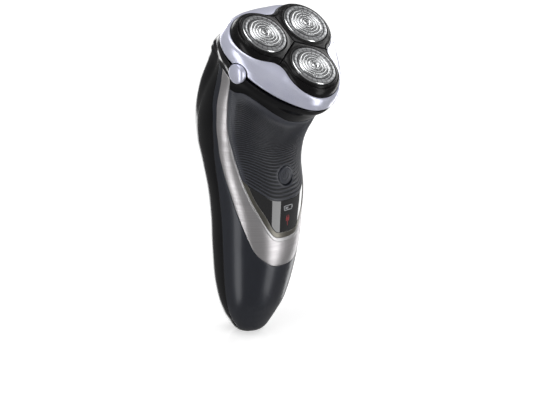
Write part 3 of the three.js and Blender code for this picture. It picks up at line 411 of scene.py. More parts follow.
def edge_roll(points: Array, bevel: float, sides: str = "all") -> Array:
    """How far a panel's surface falls near its rolled edges.

    Args:
        points: grid of the panel's points.
        bevel: radius of the rolled edge in millimetres.
        sides: "all", "rows" for the grid's first and last row, or "columns".

    Returns:
        the fall at each grid point, in millimetres.
    """
    def from_ends(axis: int) -> Array:
        """Distance along the surface from the nearer end of each line of the grid."""
        steps = np.linalg.norm(np.diff(points, axis=axis), axis=-1)
        nothing = np.zeros_like(np.take(steps, [0], axis))
        start = np.concatenate([nothing, np.cumsum(steps, axis)], axis)
        total = np.take(start, [-1], axis)
        return np.minimum(start, total - start)

    near = np.full(points.shape[:2], np.inf)
    if sides in ("all", "rows"):
        near = np.minimum(near, from_ends(0))
    if sides in ("all", "columns"):
        near = np.minimum(near, from_ends(1))
    return roll_off(near, bevel)


# ------------------------------------------------------------------ meshes
def signed_volume(points: Array, quads: Array) -> float:
    """Volume inside a closed mesh of quads, negative when its faces point inwards."""
    a, b, c, d = (points[quads[:, k]] for k in range(4))
    halves = [np.einsum("ij,ij->i", a, np.cross(*pair)) for pair in ((b, c), (c, d))]
    return float((halves[0] + halves[1]).sum())


def tube_quads(rows: int, columns: int, loop_rows: bool, loop_columns: bool) -> Array:
    """Corner numbers of the quads of a grid, which may close on itself either way."""
    row = np.arange(rows if loop_rows else rows - 1)
    column = np.arange(columns if loop_columns else columns - 1)
    i, j = np.meshgrid(row, column, indexing="ij")
    k, m = (i + 1) % rows, (j + 1) % columns
    corners = [i * columns + j, i * columns + m, k * columns + m, k * columns + j]
    return np.stack(corners, -1).reshape(-1, 4)


def capped_quads(rings: int, count: int) -> Array:
    """Quads of a tube whose first and last ring shrink to one point each and close its ends."""
    quads = tube_quads(rings, count, False, True)
    last = (rings - 1) * count
    return np.where(quads > last, last, np.where(quads < count, 0, quads))


def new_mesh(name: str, points: Array, quads: Array, smooth_to: float = 38.0) -> Piece:
    """Make a mesh object from points in millimetres; closed bodies are turned to face outwards.

    Args:
        name: the object's name.
        points: corner positions, one row each, in millimetres.
        quads: four corner numbers for each face; a doubled corner makes a triangle.
        smooth_to: edges sharper than this many degrees stay sharp.

    Returns:
        the new object, linked to the scene and placed at the origin.
    """
    if signed_volume(points, quads) < 0:
        quads = quads[:, ::-1]
    doubled = quads == np.roll(quads, -1, axis=1)
    narrow = doubled.any(axis=1)
    faces = quads[~narrow].tolist() + quads[narrow][~doubled[narrow]].reshape(-1, 3).tolist()
    mesh = bpy.data.meshes.new(name)
    mesh.from_pydata((points * MM).tolist(), [], faces)
    mesh.validate()
    mesh.polygons.foreach_set("use_smooth", np.ones(len(mesh.polygons), bool))
    mesh.update()
    mesh.set_sharp_from_angle(angle=math.radians(smooth_to))
    piece = bpy.data.objects.new(name, mesh)
    bpy.context.scene.collection.objects.link(piece)
    return piece


def slab(name: str, outer: Array, inner: Array, loop_rows: bool = False) -> Piece:
    """A closed panel between an outer and an inner grid of the same size.

    Each row of the outer grid is joined to the matching row of the inner one, read backwards, as a
    loop; the loops make a tube, and strips of quads close its two ends.

    Args:
        name: the object's name.
        outer: grid of points on the visible side.
        inner: grid of points on the hidden side.
        loop_rows: the rows close on themselves, so that there are no ends.

    Returns:
        the new object.
    """
    rows, columns = outer.shape[:2]
    loops = np.concatenate([outer, inner[:, ::-1]], axis=1)
    quads = tube_quads(rows, 2 * columns, loop_rows, True)
    if not loop_rows:
        j = np.arange(columns - 1)
        back = 2 * columns - 1 - j
        start = np.stack([j, back, back - 1, j + 1], -1)
        end = start[:, ::-1] + (rows - 1) * 2 * columns
        quads = np.vstack([quads, start, end])
    return new_mesh(name, loops.reshape(-1, 3), quads)


def turned(name: str, profile: Array, count: int, centre: Sequence[float],
           lift: Callable[[Array, Array], Array]) -> Piece:
    """A profile turned about the face's normal through a point of the face.

    The profile runs from its top on the axis round to its foot on the axis. Its first and last
    rings shrink to one point each, so their quads become triangles.

    Args:
        name: the object's name.
        profile: rows of (radius, height) in millimetres.
        count: points in each ring.
        centre: (u, v) of the axis on the face.
        lift: extra height as a function of the radius and the angle.

    Returns:
        the new object.
    """
    angle = circle(count)[None, :]
    radius, height = profile[:, :1], profile[:, 1:2]
    x, y = centre[0] + radius * np.cos(angle), centre[1] + radius * np.sin(angle)
    points = head_to_world(np.stack([x, y, height + lift(radius, angle)], -1))
    return new_mesh(name, points.reshape(-1, 3), capped_quads(len(profile), count))


def cut_out(piece: Piece, *tools: Piece, smooth_to: float = 35.0) -> Piece:
    """Cut tool bodies out of a piece and delete them; edges sharper than smooth_to stay sharp."""
    for tool in tools:
        step = piece.modifiers.new("cut", "BOOLEAN")
        step.operation = "DIFFERENCE"
        step.solver = "EXACT"
        step.object = tool
    shaped = piece.evaluated_get(bpy.context.evaluated_depsgraph_get())
    mesh = bpy.data.meshes.new_from_object(shaped)
    piece.modifiers.clear()
    old, piece.data = piece.data, mesh
    bpy.data.meshes.remove(old)
    mesh.polygons.foreach_set("use_smooth", np.ones(len(mesh.polygons), bool))
    mesh.set_sharp_from_angle(angle=math.radians(smooth_to))
    for tool in tools:
        data = tool.data
        bpy.data.objects.remove(tool)
        bpy.data.meshes.remove(data)
    return piece


def rod(name: str, start: Sequence[float], end: Sequence[float], radius: float,
        count: int = 96) -> Piece:
    """A round bar between two points in millimetres, used as a piece or as a cutting tool."""
    a, b = np.array(start, float), np.array(end, float)
    axis = (b - a) / np.linalg.norm(b - a)
    side = np.cross(axis, [0.0, 0.0, 1.0] if abs(axis[2]) < 0.9 else [1.0, 0.0, 0.0])
    side /= np.linalg.norm(side)
    up = np.cross(axis, side)
    angle = circle(count)[:, None]
    around = radius * (np.cos(angle) * side + np.sin(angle) * up)
    rings = np.stack([a + 0 * around, a + around, b + around, b + 0 * around])
    return new_mesh(name, rings.reshape(-1, 3), capped_quads(len(rings), count))


def block(name: str, low: Sequence[float], high: Sequence[float]) -> Piece:
    """An upright box between two corners in millimetres, used as a cutting tool."""
    (x0, y0, z0), (x1, y1, z1) = low, high
    points = np.array([[x0, y0, z0], [x1, y0, z0], [x1, y1, z0], [x0, y1, z0],
                       [x0, y0, z1], [x1, y0, z1], [x1, y1, z1], [x0, y1, z1]], float)
    quads = np.array([[0, 3, 2, 1], [4, 5, 6, 7], [0, 1, 5, 4], [1, 2, 6, 5], [2, 3, 7, 6],
                      [3, 0, 4, 7]])
    return new_mesh(name, points, quads)


def middle_of(node: str) -> Array:
    """The middle of a CAD node's box, in millimetres."""
    low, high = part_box(node)
    return np.array((low + high) / 2) / MM


def points_of(piece: Piece) -> Array:
    """The corner points of a piece in millimetres, one row each."""
    points = np.zeros(len(piece.data.vertices) * 3, np.float32)
    piece.data.vertices.foreach_get("co", points)
    return points.reshape(-1, 3) / MM


def give_attribute(piece: Piece, name: str, values: Array) -> None:
    """Store one number for each corner point, for a material to read."""
    held = piece.data.attributes.new(name, "FLOAT", "POINT")
    held.data.foreach_set("value", np.asarray(values, np.float32).ravel())


def mark_outside(piece: Piece, name: str, mask: Array) -> None:
    """Store a mask on the outer side of a slab and nothing on its inner side."""
    give_attribute(piece, name, np.concatenate([mask, 0 * mask], axis=1))


# ------------------------------------------------------------------ shader groups
class Group(Enum):
    """Names of the shared shader groups."""

    GRAIN = "fine grain"
    BRUSHED = "brushed lines"
    SMUDGE = "handling smudges"
    EDGE = "edge wear"
    DUST = "settled dust"


class Graph:
    """A small helper that adds nodes to a tree and links them."""

    def __init__(self, tree: Tree) -> None:
        """Start on a tree."""
        self.tree = tree

    def add(self, kind: str, values: dict | None = None, **settings: object) -> bpy.types.Node:
        """Add a node; settings are its properties, values its inputs or sockets that feed them."""
        node = self.tree.nodes.new(kind)
        for key, value in settings.items():
            setattr(node, key, value)
        for key, value in (values or {}).items():
            socket = node.inputs[key]
            if isinstance(value, Socket):
                self.tree.links.new(value, socket)
            else:
                socket.default_value = value
        return node

    def maths(self, operation: str, first: object, second: object = 0.0) -> Socket:
        """The output of a Math node."""
        return self.add("ShaderNodeMath", {0: first, 1: second}, operation=operation).outputs[0]

    def ramp(self, value: object, low: float, high: float, to_low: float = 0.0,
             to_high: float = 1.0) -> Socket:
        """A value carried from one range to another and clamped."""
        return self.add("ShaderNodeMapRange", {"Value": value, "From Min": low, "From Max": high,
                                               "To Min": to_low, "To Max": to_high}).outputs[0]

    def place(self, scale: Sequence[float] = (1, 1, 1)) -> Socket:
        """Object coordinates stretched by a scale for each axis."""
        at = self.add("ShaderNodeTexCoord").outputs["Object"]
        return self.add("ShaderNodeMapping", {"Vector": at, "Scale": tuple(scale)}).outputs[0]

    def noise(self, vector: object, scale: float | Socket, detail: float = 3.0) -> Socket:
        """The value of a noise texture."""
        values = {"Vector": vector, "Scale": scale, "Detail": detail}
        return self.add("ShaderNodeTexNoise", values).outputs[0]

    def product(self, *values: object) -> Socket:
        """Several values multiplied together."""
        result = values[0]
        for value in values[1:]:
            result = self.maths("MULTIPLY", result, value)
        return result


def fill_grain(graph: Graph, given: dict[str, Socket]) -> tuple[Socket, ...]:
    """Fine even grain: its normal and its height."""
    height = graph.noise(graph.place(), given["Scale"], 2.0)
    bump = {"Height": height, "Strength": given["Strength"], "Distance": given["Depth"]}
    return graph.add("ShaderNodeBump", bump).outputs[0], height


def fill_brushed(graph: Graph, given: dict[str, Socket]) -> tuple[Socket, ...]:
    """Lines drawn out across the shaver: their normal and their mask."""
    height = graph.noise(graph.place((0.03, 0.03, 1.0)), given["Fineness"], 4.0)
    bump = {"Height": height, "Strength": given["Strength"], "Distance": 0.0001}
    return graph.add("ShaderNodeBump", bump).outputs[0], graph.ramp(height, 0.3, 0.7)


def fill_smudge(graph: Graph, given: dict[str, Socket]) -> tuple[Socket, ...]:
    """Broad soft patches broken up by streaks, as hands leave them."""
    broad = graph.noise(graph.place(), given["Scale"], 5.0)
    finer = graph.maths("MULTIPLY", given["Scale"], 9.0)
    fine = graph.noise(graph.place((1.0, 1.0, 2.2)), finer, 3.0)
    patches, streaks = graph.ramp(broad, 0.42, 0.68), graph.ramp(fine, 0.35, 0.75)
    return (graph.product(patches, streaks, given["Amount"]),)


def fill_edge(graph: Graph, given: dict[str, Socket]) -> tuple[Socket, ...]:
    """Worn edges: the sharp places of the mesh, broken up by noise."""
    point = graph.add("ShaderNodeNewGeometry").outputs["Pointiness"]
    edge = graph.ramp(point, EVEN_POINT, graph.maths("ADD", EVEN_POINT, given["Reach"]))
    broken = graph.ramp(graph.noise(graph.place(), 500.0, 4.0), 0.4, 0.65)
    return (graph.product(edge, broken, given["Amount"]),)


def fill_dust(graph: Graph, given: dict[str, Socket]) -> tuple[Socket, ...]:
    """Specks that settle on what faces upwards."""
    normal = graph.add("ShaderNodeNewGeometry").outputs["Normal"]
    upward = graph.ramp(graph.add("ShaderNodeSeparateXYZ", {0: normal}).outputs[2], 0.2, 1.0)
    specks = graph.ramp(graph.noise(graph.place(), given["Scale"], 6.0), 0.58, 0.72)
    return (graph.product(upward, specks, given["Amount"]),)


EVEN_POINT = 0.505
GROUPS = (
    (Group.GRAIN, {"Scale": 4000.0, "Strength": 0.1, "Depth": 0.0001}, ("Normal", "Mask"),
     fill_grain),
    (Group.BRUSHED, {"Fineness": 900.0, "Strength": 0.15}, ("Normal", "Mask"), fill_brushed),
    (Group.SMUDGE, {"Scale": 60.0, "Amount": 0.5}, ("Mask",), fill_smudge),
    (Group.EDGE, {"Reach": 0.03, "Amount": 0.5}, ("Mask",), fill_edge),
    (Group.DUST, {"Scale": 900.0, "Amount": 0.1}, ("Mask",), fill_dust),
)


def shader_group(kind: Group, inputs: dict[str, float], outputs: Sequence[str],
                 fill: Callable[[Graph, dict[str, Socket]], tuple[Socket, ...]]) -> Tree:
    """Build one shader group.

    Args:
        kind: which group it is.
        inputs: names of its number inputs with their starting values.
        outputs: names of its outputs.
        fill: adds the group's nodes and returns the sockets that feed its outputs.

    Returns:
        the group's node tree.
    """
    tree = bpy.data.node_groups.new(kind.value, "ShaderNodeTree")
    add_socket = tree.interface.new_socket
    for name, value in inputs.items():
        add_socket(name, in_out="INPUT", socket_type="NodeSocketFloat").default_value = value
    for name in outputs:
        sort = "NodeSocketVector" if name == "Normal" else "NodeSocketFloat"
        add_socket(name, in_out="OUTPUT", socket_type=sort)
    start, end = tree.nodes.new("NodeGroupInput"), tree.nodes.new("NodeGroupOutput")
    given = {socket.name: socket for socket in start.outputs}
    for name, result in zip(outputs, fill(Graph(tree), given)):
        tree.links.new(result, end.inputs[name])
    return tree


# ------------------------------------------------------------------ finishes
DUST_COLOUR = (0.62, 0.6, 0.56)
DUST_ROUGH = 0.4
SMUDGE_ROUGH = 0.22
LINE_SHADE = 0.22
LINE_DARK = 0.55


class Pattern(Enum):
    """The kinds of surface pattern that a finish may have."""

    PLAIN = "plain"
    GRAINED = "grained"
    BRUSHED = "brushed"


@dataclass(frozen=True)
class Finish:
    """One surface finish of the shaver."""

    slot: str
    colour: Colour
    roughness: float
    metallic: float = 0.0
    coat: float = 0.0
    coat_roughness: float = 0.05
    pattern: Pattern = Pattern.PLAIN
    grain_scale: float = 4000.0
    grain_strength: float = 0.1
    variation: float = 0.06
    smudge: float = 0.25
    wear: float = 0.0
    wear_colour: Colour = (0.6, 0.6, 0.62)
    dust: float = 0.05
    specular: float = 0.5
    marks: tuple[tuple[str, Colour, float], ...] = ()

    def build(self, groups: dict[Group, Tree]) -> bpy.types.Material:
        """Make the finish's material.

        The base colour drifts a little with broad noise, takes a worn colour on sharp edges and a
        pale one where dust settles; smudges and the pattern change the roughness; attribute marks
        are laid over everything.

        Args:
            groups: the shared shader groups.

        Returns:
            the new material.
        """
        material = bpy.data.materials.new(self.slot)
        material.use_nodes = True
        tree = material.node_tree
        graph = Graph(tree)
        shader = tree.nodes["Principled BSDF"]
        for name, value in (("Metallic", self.metallic), ("Coat Weight", self.coat),
                            ("Coat Roughness", self.coat_roughness),
                            ("Specular IOR Level", self.specular)):
            shader.inputs[name].default_value = value

        drift = graph.noise(graph.place(), 90.0, 4.0)
        darker = tuple(c * (1 - self.variation) for c in self.colour)
        lighter = tuple(min(c * (1 + self.variation), 1.0) for c in self.colour)
        colour = self.mixed(graph, graph.ramp(drift, 0.3, 0.7), darker, lighter)

        smudge = self.placed(tree, groups[Group.SMUDGE], Amount=self.smudge).outputs["Mask"]
        rough = graph.maths("ADD", self.roughness, graph.maths("MULTIPLY", smudge, SMUDGE_ROUGH))
        if self.pattern is Pattern.BRUSHED:
            lines = self.placed(tree, groups[Group.BRUSHED], Strength=self.grain_strength,
                                Fineness=self.grain_scale)
            tree.links.new(lines.outputs["Normal"], shader.inputs["Normal"])
            streak = graph.ramp(lines.outputs["Mask"], 0.0, 1.0, -0.05, 0.05)
            rough = graph.maths("ADD", rough, streak)
            shade = graph.ramp(lines.outputs["Mask"], 0.0, 1.0, 0.0, LINE_SHADE)
            colour = self.mixed(graph, shade, colour, tuple(c * LINE_DARK for c in self.colour))
        if self.pattern is Pattern.GRAINED:
            grain = self.placed(tree, groups[Group.GRAIN], Scale=self.grain_scale,
                                Strength=self.grain_strength)
            tree.links.new(grain.outputs["Normal"], shader.inputs["Normal"])
            rough = graph.maths("ADD", rough, graph.ramp(grain.outputs["Mask"], 0.3, 0.7, -0.03, 0.03))
        if self.wear:
            worn = self.placed(tree, groups[Group.EDGE], Amount=self.wear).outputs["Mask"]
            colour = self.mixed(graph, worn, colour, self.wear_colour)
        if self.dust:
            dust = self.placed(tree, groups[Group.DUST], Amount=self.dust).outputs["Mask"]
            colour = self.mixed(graph, dust, colour, DUST_COLOUR)
            rough = graph.maths("ADD", rough, graph.maths("MULTIPLY", dust, DUST_ROUGH))
        for name, mark_colour, mark_rough in self.marks:
            mask = graph.add("ShaderNodeAttribute", attribute_name=name).outputs["Fac"]
            colour = self.mixed(graph, mask, colour, mark_colour)
            rough = graph.maths("ADD", rough, graph.maths("MULTIPLY", mask, mark_rough))
        tree.links.new(colour, shader.inputs["Base Color"])
        held = graph.add("ShaderNodeClamp", {"Value": rough, "Min": 0.02, "Max": 1.0})
        tree.links.new(held.outputs[0], shader.inputs["Roughness"])
        return material

    @staticmethod
    def mixed(graph: Graph, factor: object, first: object, second: object) -> Socket:
        """Mix two colours, given as sockets or as RGB."""
        sides = [c if isinstance(c, Socket) else (*c, 1.0) for c in (first, second)]
        node = graph.add("ShaderNodeMix", {}, data_type="RGBA")
        for key, value in zip(("Factor", "A", "B"), (factor, *sides)):
            sockets = [s for s in node.inputs if s.name == key and s.enabled]
            if isinstance(value, Socket):
                graph.tree.links.new(value, sockets[0])
            else:
                sockets[0].default_value = value
        return next(s for s in node.outputs if s.enabled)

    @staticmethod
    def placed(tree: Tree, group: Tree, **values: float) -> bpy.types.Node:
        """Place a shared group in the material with its own values."""
        node = tree.nodes.new("ShaderNodeGroup")
        node.node_tree = group
        for key, value in values.items():
            node.inputs[key].default_value = value
        return node


FINISHES = (
    Finish("front_plastic", (0.024, 0.027, 0.038), 0.34, metallic=0.25, coat=0.25, coat_roughness=0.16,
           specular=0.45, pattern=Pattern.GRAINED, grain_scale=9000, grain_strength=0.012, wear=0.15),
    Finish("gloss_black", (0.003, 0.003, 0.004), 0.14, smudge=0.1, dust=0.02, specular=0.25),
    Finish("brushed", (0.64, 0.62, 0.63), 0.42, metallic=1.0, pattern=Pattern.BRUSHED, grain_scale=1500,
           grain_strength=0.16, smudge=0.1, wear=0.2, wear_colour=(0.8, 0.8, 0.8),
           # the lip mark is a painted highlight: a lighter colour for the bright line along the trim's
           # inner edge
           marks=(("edge_mark", (0.7, 0.69, 0.7), 0.05),)),
    Finish("bronze", (0.2, 0.19, 0.165), 0.34, metallic=0.9, smudge=0.1, wear=0.3),
    Finish("grip", (0.046, 0.05, 0.067), 0.42, pattern=Pattern.GRAINED, grain_scale=7000,
           grain_strength=0.1, smudge=0.12, dust=0.03, specular=0.75,
           # the trough mark is painted shade: the ribs' troughs are coloured near black, the deeper the
           # darker
           marks=(("trough_mark", (0.004, 0.0045, 0.006), 0.2),
                  # the dot mark is a painted highlight: the raised dots beside the trim are coloured
                  # lighter
                  ("pressed_mark", (0.1, 0.103, 0.115), 0.0), ("dot_mark", (0.16, 0.165, 0.18), 0.0))),
    Finish("window", (0.003, 0.003, 0.004), 0.05, coat=0.8, coat_roughness=0.03, smudge=0.08,
           dust=0.02, specular=0.7,
           marks=(("light_mark", (0.45, 0.46, 0.48), 0.3), ("red_mark", (0.32, 0.015, 0.02), 0.3))),
    Finish("silver", (0.79, 0.805, 1.0), 0.3, metallic=0.45, coat=0.5, coat_roughness=0.1,
           pattern=Pattern.GRAINED, grain_scale=9000, grain_strength=0.02, smudge=0.12, wear=0.2,
           wear_colour=(0.8, 0.8, 0.84)),
    Finish("chrome", (0.66, 0.67, 0.68), 0.13, metallic=1.0, smudge=0.15, dust=0.0,
           # the slot mark darkens the slits, the grooves and the outer land, and paints shade into the
           # valleys between the ring tracks
           marks=(("slot_mark", (0.025, 0.025, 0.028), 0.25),)),
    Finish("satin_black", (0.005, 0.0045, 0.005), 0.27, specular=0.2, coat=0.05, coat_roughness=0.2,
           pattern=Pattern.GRAINED, grain_scale=6000, grain_strength=0.04, smudge=0.15, wear=0.2,
           wear_colour=(0.12, 0.12, 0.13)),
    Finish("inner", (0.06, 0.062, 0.07), 0.55, pattern=Pattern.GRAINED, grain_strength=0.1),
    Finish("nylon", (0.7, 0.68, 0.58), 0.45, pattern=Pattern.GRAINED, grain_strength=0.06),
    Finish("steel", (0.5, 0.51, 0.53), 0.22, metallic=1.0, pattern=Pattern.GRAINED,
           grain_strength=0.05),
    Finish("board", (0.02, 0.12, 0.05), 0.4, coat=0.4, variation=0.2),
    Finish("cell", (0.04, 0.12, 0.33), 0.35, coat=0.3),
    Finish("seal", (0.2, 0.03, 0.025), 0.7, pattern=Pattern.GRAINED, grain_strength=0.15),
    Finish("light", (0.8, 0.8, 0.8), 0.2),
)


class Palette:
    """The shaver's materials, by slot name."""

    def __init__(self) -> None:
        """Build the shader groups and one material for each finish."""
        groups = {row[0]: shader_group(*row) for row in GROUPS}
        self.materials = {finish.slot: finish.build(groups) for finish in FINISHES}

    def dress(self, piece: Piece, slot: str) -> None:
        """Give a piece one finish and name its slot."""
        piece.data.materials.clear()
        piece.data.materials.append(self.materials[slot])

    def dress_cad(self) -> None:
        """Give every CAD node the finish of its recorded slot."""
        for part in frame["record"]["subparts"]:
            node = frame["nodes"][part["node"]]
            node.data.materials.clear()
            node.data.materials.append(self.materials[part["material_slot"]])


@dataclass
class SubAssembly:
    """What every sub-assembly of the shaver shares: the palette and how a piece is handed over."""

    palette: Palette

    def hand_over(self, piece: Piece, body: str, slot: str, *nodes: str) -> None:
        """Dress a piece, fix it to its body and let it stand for its CAD nodes."""
        self.palette.dress(piece, slot)
        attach(piece, body)
        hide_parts(*nodes)
        faces, nodes_text = len(piece.data.polygons), ", ".join(nodes) or "no node"
        LOG.info("%s: %d faces on %s, standing for %s", piece.name, faces, body, nodes_text)


# ------------------------------------------------------------------ handle
@dataclass
class Handle(SubAssembly):
    """The handle's outer panels: shells, trim, grip and display window."""

    wall: float = 1.5
    bevel: float = 0.3
    seam: SeamLine = SeamLine(SEAM)
    trim_outer: SeamLine = SeamLine(TRIM_OUTER)
    trim_inner: SeamLine = SeamLine(TRIM_INNER)
    window_edge: SeamLine = SeamLine(WINDOW_EDGE)
    grip_edge: SeamLine = SeamLine(GRIP_EDGE)
    collar_edge: SeamLine = SeamLine(COLLAR_EDGE)
    back_extra: float = 0.5
    trimmer_half: float = 13.3
    barrel_room: float = 6.6
    slot_half: float = 1.8
    slot_down: float = 8.6
    slot_up: float = 2.6
    inlet_half: tuple[float, float] = (3.9, 2.5)
    rib_coarse: float = 1.8
    rib_fine: float = 1.2
    rib_depth: float = 0.42
    grip_length: float = 62.0
    grip_width: float = 55.0
    grip_proud: float = 0.2
    dot_inset: float = 1.5
    dot_pitch: float = 1.3
    dot_rise: float = 0.22
    trim_crown: float = 0.35
    lip_from: float = 0.91
    lip_widening: float = 0.05
    lip_rise: float = 0.14
    border_bevel: float = 0.2
    foot_share: float = 0.004
    floor_height: float = 1.2
    button_hole: float = 4.75

    def panel(self, name: str, grid: Array, proud: Array | float = 0.0,
              bevel: float | None = None) -> Piece:
        """A panel of the handle from a grid of (row number, angle), with rolled edges."""
        fall = edge_roll(on_handle(grid), self.bevel if bevel is None else bevel)
        return slab(name, on_handle(grid, proud - fall), on_handle(grid, -self.wall))

    def foot_rows(self, row: Array, middle: float, count: int = 12) -> Array:
        """Rows of points that close the back shell's foot.

        Args:
            row: the lowest row of points.
            middle: y of the point that the rows shrink towards, in millimetres.
            count: number of rows.

        Returns:
            the new rows, the innermost first.
        """
        share = np.linspace(0, 1, count, endpoint=False)[:, None, None]
        centre = np.array([0.0, middle, 0.0])
        return centre + (row[None] - centre) * np.maximum(share, self.foot_share)

    def build_back(self) -> None:
        """The back shell, from the seam round the back, with its openings."""
        across = cluster(120, 60.0, self.bevel)
        rise = cluster(230, 150.0, self.bevel)

        def sweep(t: Array) -> Array:
            """Angles across the back, from the left seam to the right one, at row numbers."""
            left = side_angle(t, self.seam.depth_at(t))[:, None]
            return left * (1 - across) + (math.pi - left) * across

        top_angle = sweep(self.seam.points[-1:, 0])[0]
        top_depth = depth_share(np.full(len(across), NECK_ROW), top_angle)
        grid = np.zeros((len(rise), len(across), 2))
        grid[..., 0] = rise[:, None] * self.collar_edge.row_at(top_depth)
        grid[..., 1] = sweep(grid[:, 0, 0])
        fall = edge_roll(on_handle(grid), self.bevel, "columns")
        outer = on_handle(grid, shoulder(grid[..., 0], grid[..., 1]) - fall)
        inner = on_handle(grid, -self.wall - self.back_extra)
        inner[..., 2] = np.maximum(inner[..., 2], self.floor_height)
        seam_y = float(outer[0, 0, 1])
        outer, inner = (np.concatenate([self.foot_rows(side[0], seam_y), side])
                        for side in (outer, inner))
        shell = slab("back_shell_form", outer, inner)
        pin = middle_of("trimmer_pin")
        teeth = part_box("trimmer_comb")[1][2] / MM
        half = self.trimmer_half
        ends = [(side, pin[1], pin[2]) for side in (-half, half)]
        pad, inlet = middle_of("trimmer_slide")[2], middle_of("charging_socket")[2]
        inside, outside = 8, 40
        slot, below, above = self.slot_half, pad - self.slot_down, pad + self.slot_up
        wide, tall = self.inlet_half
        cut_out(shell, block("trimmer opening", (-half, 0, pin[2]), (half, 60, teeth + 0.6)),
                rod("barrel opening", *ends, self.barrel_room),
                block("slide slot", (-slot, inside, below), (slot, outside, above)),
                block("inlet opening", (-wide, inside, inlet - tall), (wide, outside, inlet + tall)))
        self.hand_over(shell, "handle", "gloss_black", "back_shell")

    def build_front(self) -> None:
        """The lower front shell: lines ruled from the trim's outer edge to the seam."""
        seam = self.seam.path(400)
        seam[:, 0] = np.maximum(seam[:, 0], 0)
        share = cluster(260, 320.0, self.bevel)
        edges = [resample(both_sides(path), share) for path in (self.trim_outer.path(400), seam)]
        shell = self.panel("front_shell_form", ruled(*edges, cluster(60, 26.0, self.bevel)))
        self.hand_over(shell, "handle", "front_plastic", "front_shell")

    def build_trim(self) -> None:
        """The brushed band, slightly crowned, between its two edges; its inner lip carries a painted
        highlight.
        """
        share = cluster(300, 300.0, self.bevel)
        across = np.unique(np.r_[cluster(26, 8.0, self.bevel), np.linspace(0.76, 0.98, 24)])
        edges = [resample(both_sides(line.path(400)), share)
                 for line in (self.trim_outer, self.trim_inner)]
        crown = self.trim_crown * np.sin(math.pi * across) ** 0.7
        foot = np.exp(-((share - 0.5) / 0.07) ** 4)[:, None]
        lip = np.clip((across[None, :] - self.lip_from + self.lip_widening * foot) / 0.03, 0, 1)
        band = self.panel("trim_band_form", ruled(*edges, across), crown + self.lip_rise * lip)
        # painted highlight: the raised lip along the inner edge is coloured lighter
        mark_outside(band, "edge_mark", lip)
        self.hand_over(band, "handle", "brushed", "trim_band")

    def build_window(self) -> None:
        """The window's border and the glossy window, whose top follows the grip's edge."""
        stop, corner = self.window_edge.meets(self.grip_edge)
        stop_inner, _ = self.trim_inner.meets(self.grip_edge)
        edge = self.window_edge.path(300, 0, stop)
        border = self.trim_inner.path(300, 0, stop_inner)
        share = cluster(200, 90.0, 0.15)
        edges = [resample(both_sides(path), share) for path in (border, edge)]
        bevel = self.border_bevel
        ring = self.panel("window_border", ruled(*edges, cluster(14, 1.6, bevel)), 0.15, bevel)
        self.hand_over(ring, "handle", "bronze", "window_bezel")

        ends = [line.fine()[0, 0] for line in (self.window_edge, self.grip_edge)]
        middle = np.c_[np.linspace(*ends, 300), np.full(300, FRONT)]
        across = cluster(90, 20.0, bevel)
        left, right = resample(edge, share), resample(mirrored(edge), share)
        centre = resample(evenly(middle, 300), share)
        half = np.abs(2 * across - 1)[None, :, None]
        side = np.where((across < 0.5)[None, :, None], left[:, None, :], right[:, None, :])
        grid = centre[:, None, :] * (1 - half) + side * half
        crest = resample(both_sides(self.grip_edge.path(200, 0, corner)), across)
        grid += share[:, None, None] * (crest - grid[-1])
        window = self.panel("display_window_form", grid)
        self.mark_symbols(window)
        self.hand_over(window, "handle", "window", "display_window")

    @staticmethod
    def mark_symbols(window: Piece) -> None:
        """Mark the lit battery and the red plug on the window's front."""
        x, y, z = points_of(window).T
        front = y < -22
        high, low = float(middle_of("charge_light")[2]), float(middle_of("plug_light")[2])

        def box(across: Array, up: Array, half_width: float, half_height: float) -> Array:
            """The points inside an upright box about where both distances are nothing."""
            return (np.abs(across) < half_width) & (np.abs(up) < half_height)

        battery = box(x, z - high, 2.6, 1.3) & ~box(x, z - high, 2.1, 0.85)
        nub, charge = box(x - 2.9, z - high, 0.35, 0.6), box(x + 0.9, z - high, 0.7, 0.5)
        give_attribute(window, "light_mark", (battery | nub | charge) & front)
        head, lead = box(x, z - low - 0.6, 1.1, 0.9), box(x, z - low + 1.4, 0.22, 1.2)
        prongs = box(np.abs(x) - 0.6, z - low - 2.0, 0.2, 0.7)
        give_attribute(window, "red_mark", (head | prongs | lead) & front)

    def rib_height(self, rise: Array, length: float) -> Array:
        """Height of the grip's ribs, nothing on a crest and below nothing in a trough.

        The ribs are a rounded wave whose pitch changes evenly from `rib_coarse` at the foot to
        `rib_fine` at the top; near the top the wave fades out.

        Args:
            rise: distances up the grip in millimetres.
            length: the grip's whole length in millimetres.

        Returns:
            the height at each distance, in millimetres.
        """
        share = np.clip(rise / length, 0, 1)
        pitch = self.rib_coarse + (self.rib_fine - self.rib_coarse) * share
        phase = np.cumsum(np.gradient(rise) / pitch)
        wave = 0.5 - 0.5 * np.cos(2 * math.pi * phase)
        fade = np.clip((0.97 - share) / 0.12, 0, 1) * np.clip(share / 0.02, 0, 1)
        return -self.rib_depth * (1 - wave) * fade

    def build_grip(self) -> None:
        """The ribbed rubber grip, with the power button's hole and a row of dots at each side; the
        ribs' troughs carry painted shade and the dots painted highlights.
        """
        start, corner = self.trim_inner.meets(self.grip_edge)
        stop, collar_stop = self.trim_inner.meets(self.collar_edge)
        left = self.trim_inner.path(400, start, stop)
        low = both_sides(self.grip_edge.path(200, 0, corner))
        high = both_sides(self.collar_edge.path(200, 0, collar_stop))
        low[0], low[-1] = left[0], mirrored(left)[0]
        high[0], high[-1] = left[-1], mirrored(left)[-1]
        length, width = self.grip_length, self.grip_width
        rise = cluster(470, length, self.bevel)
        dot_columns = (self.dot_inset + np.linspace(-0.6, 0.6, 9)) / width
        columns = [cluster(76, width, self.bevel), dot_columns, 1 - dot_columns]
        across = np.unique(np.concatenate(columns))
        grid = coons(left, mirrored(left), low, high, across, rise)

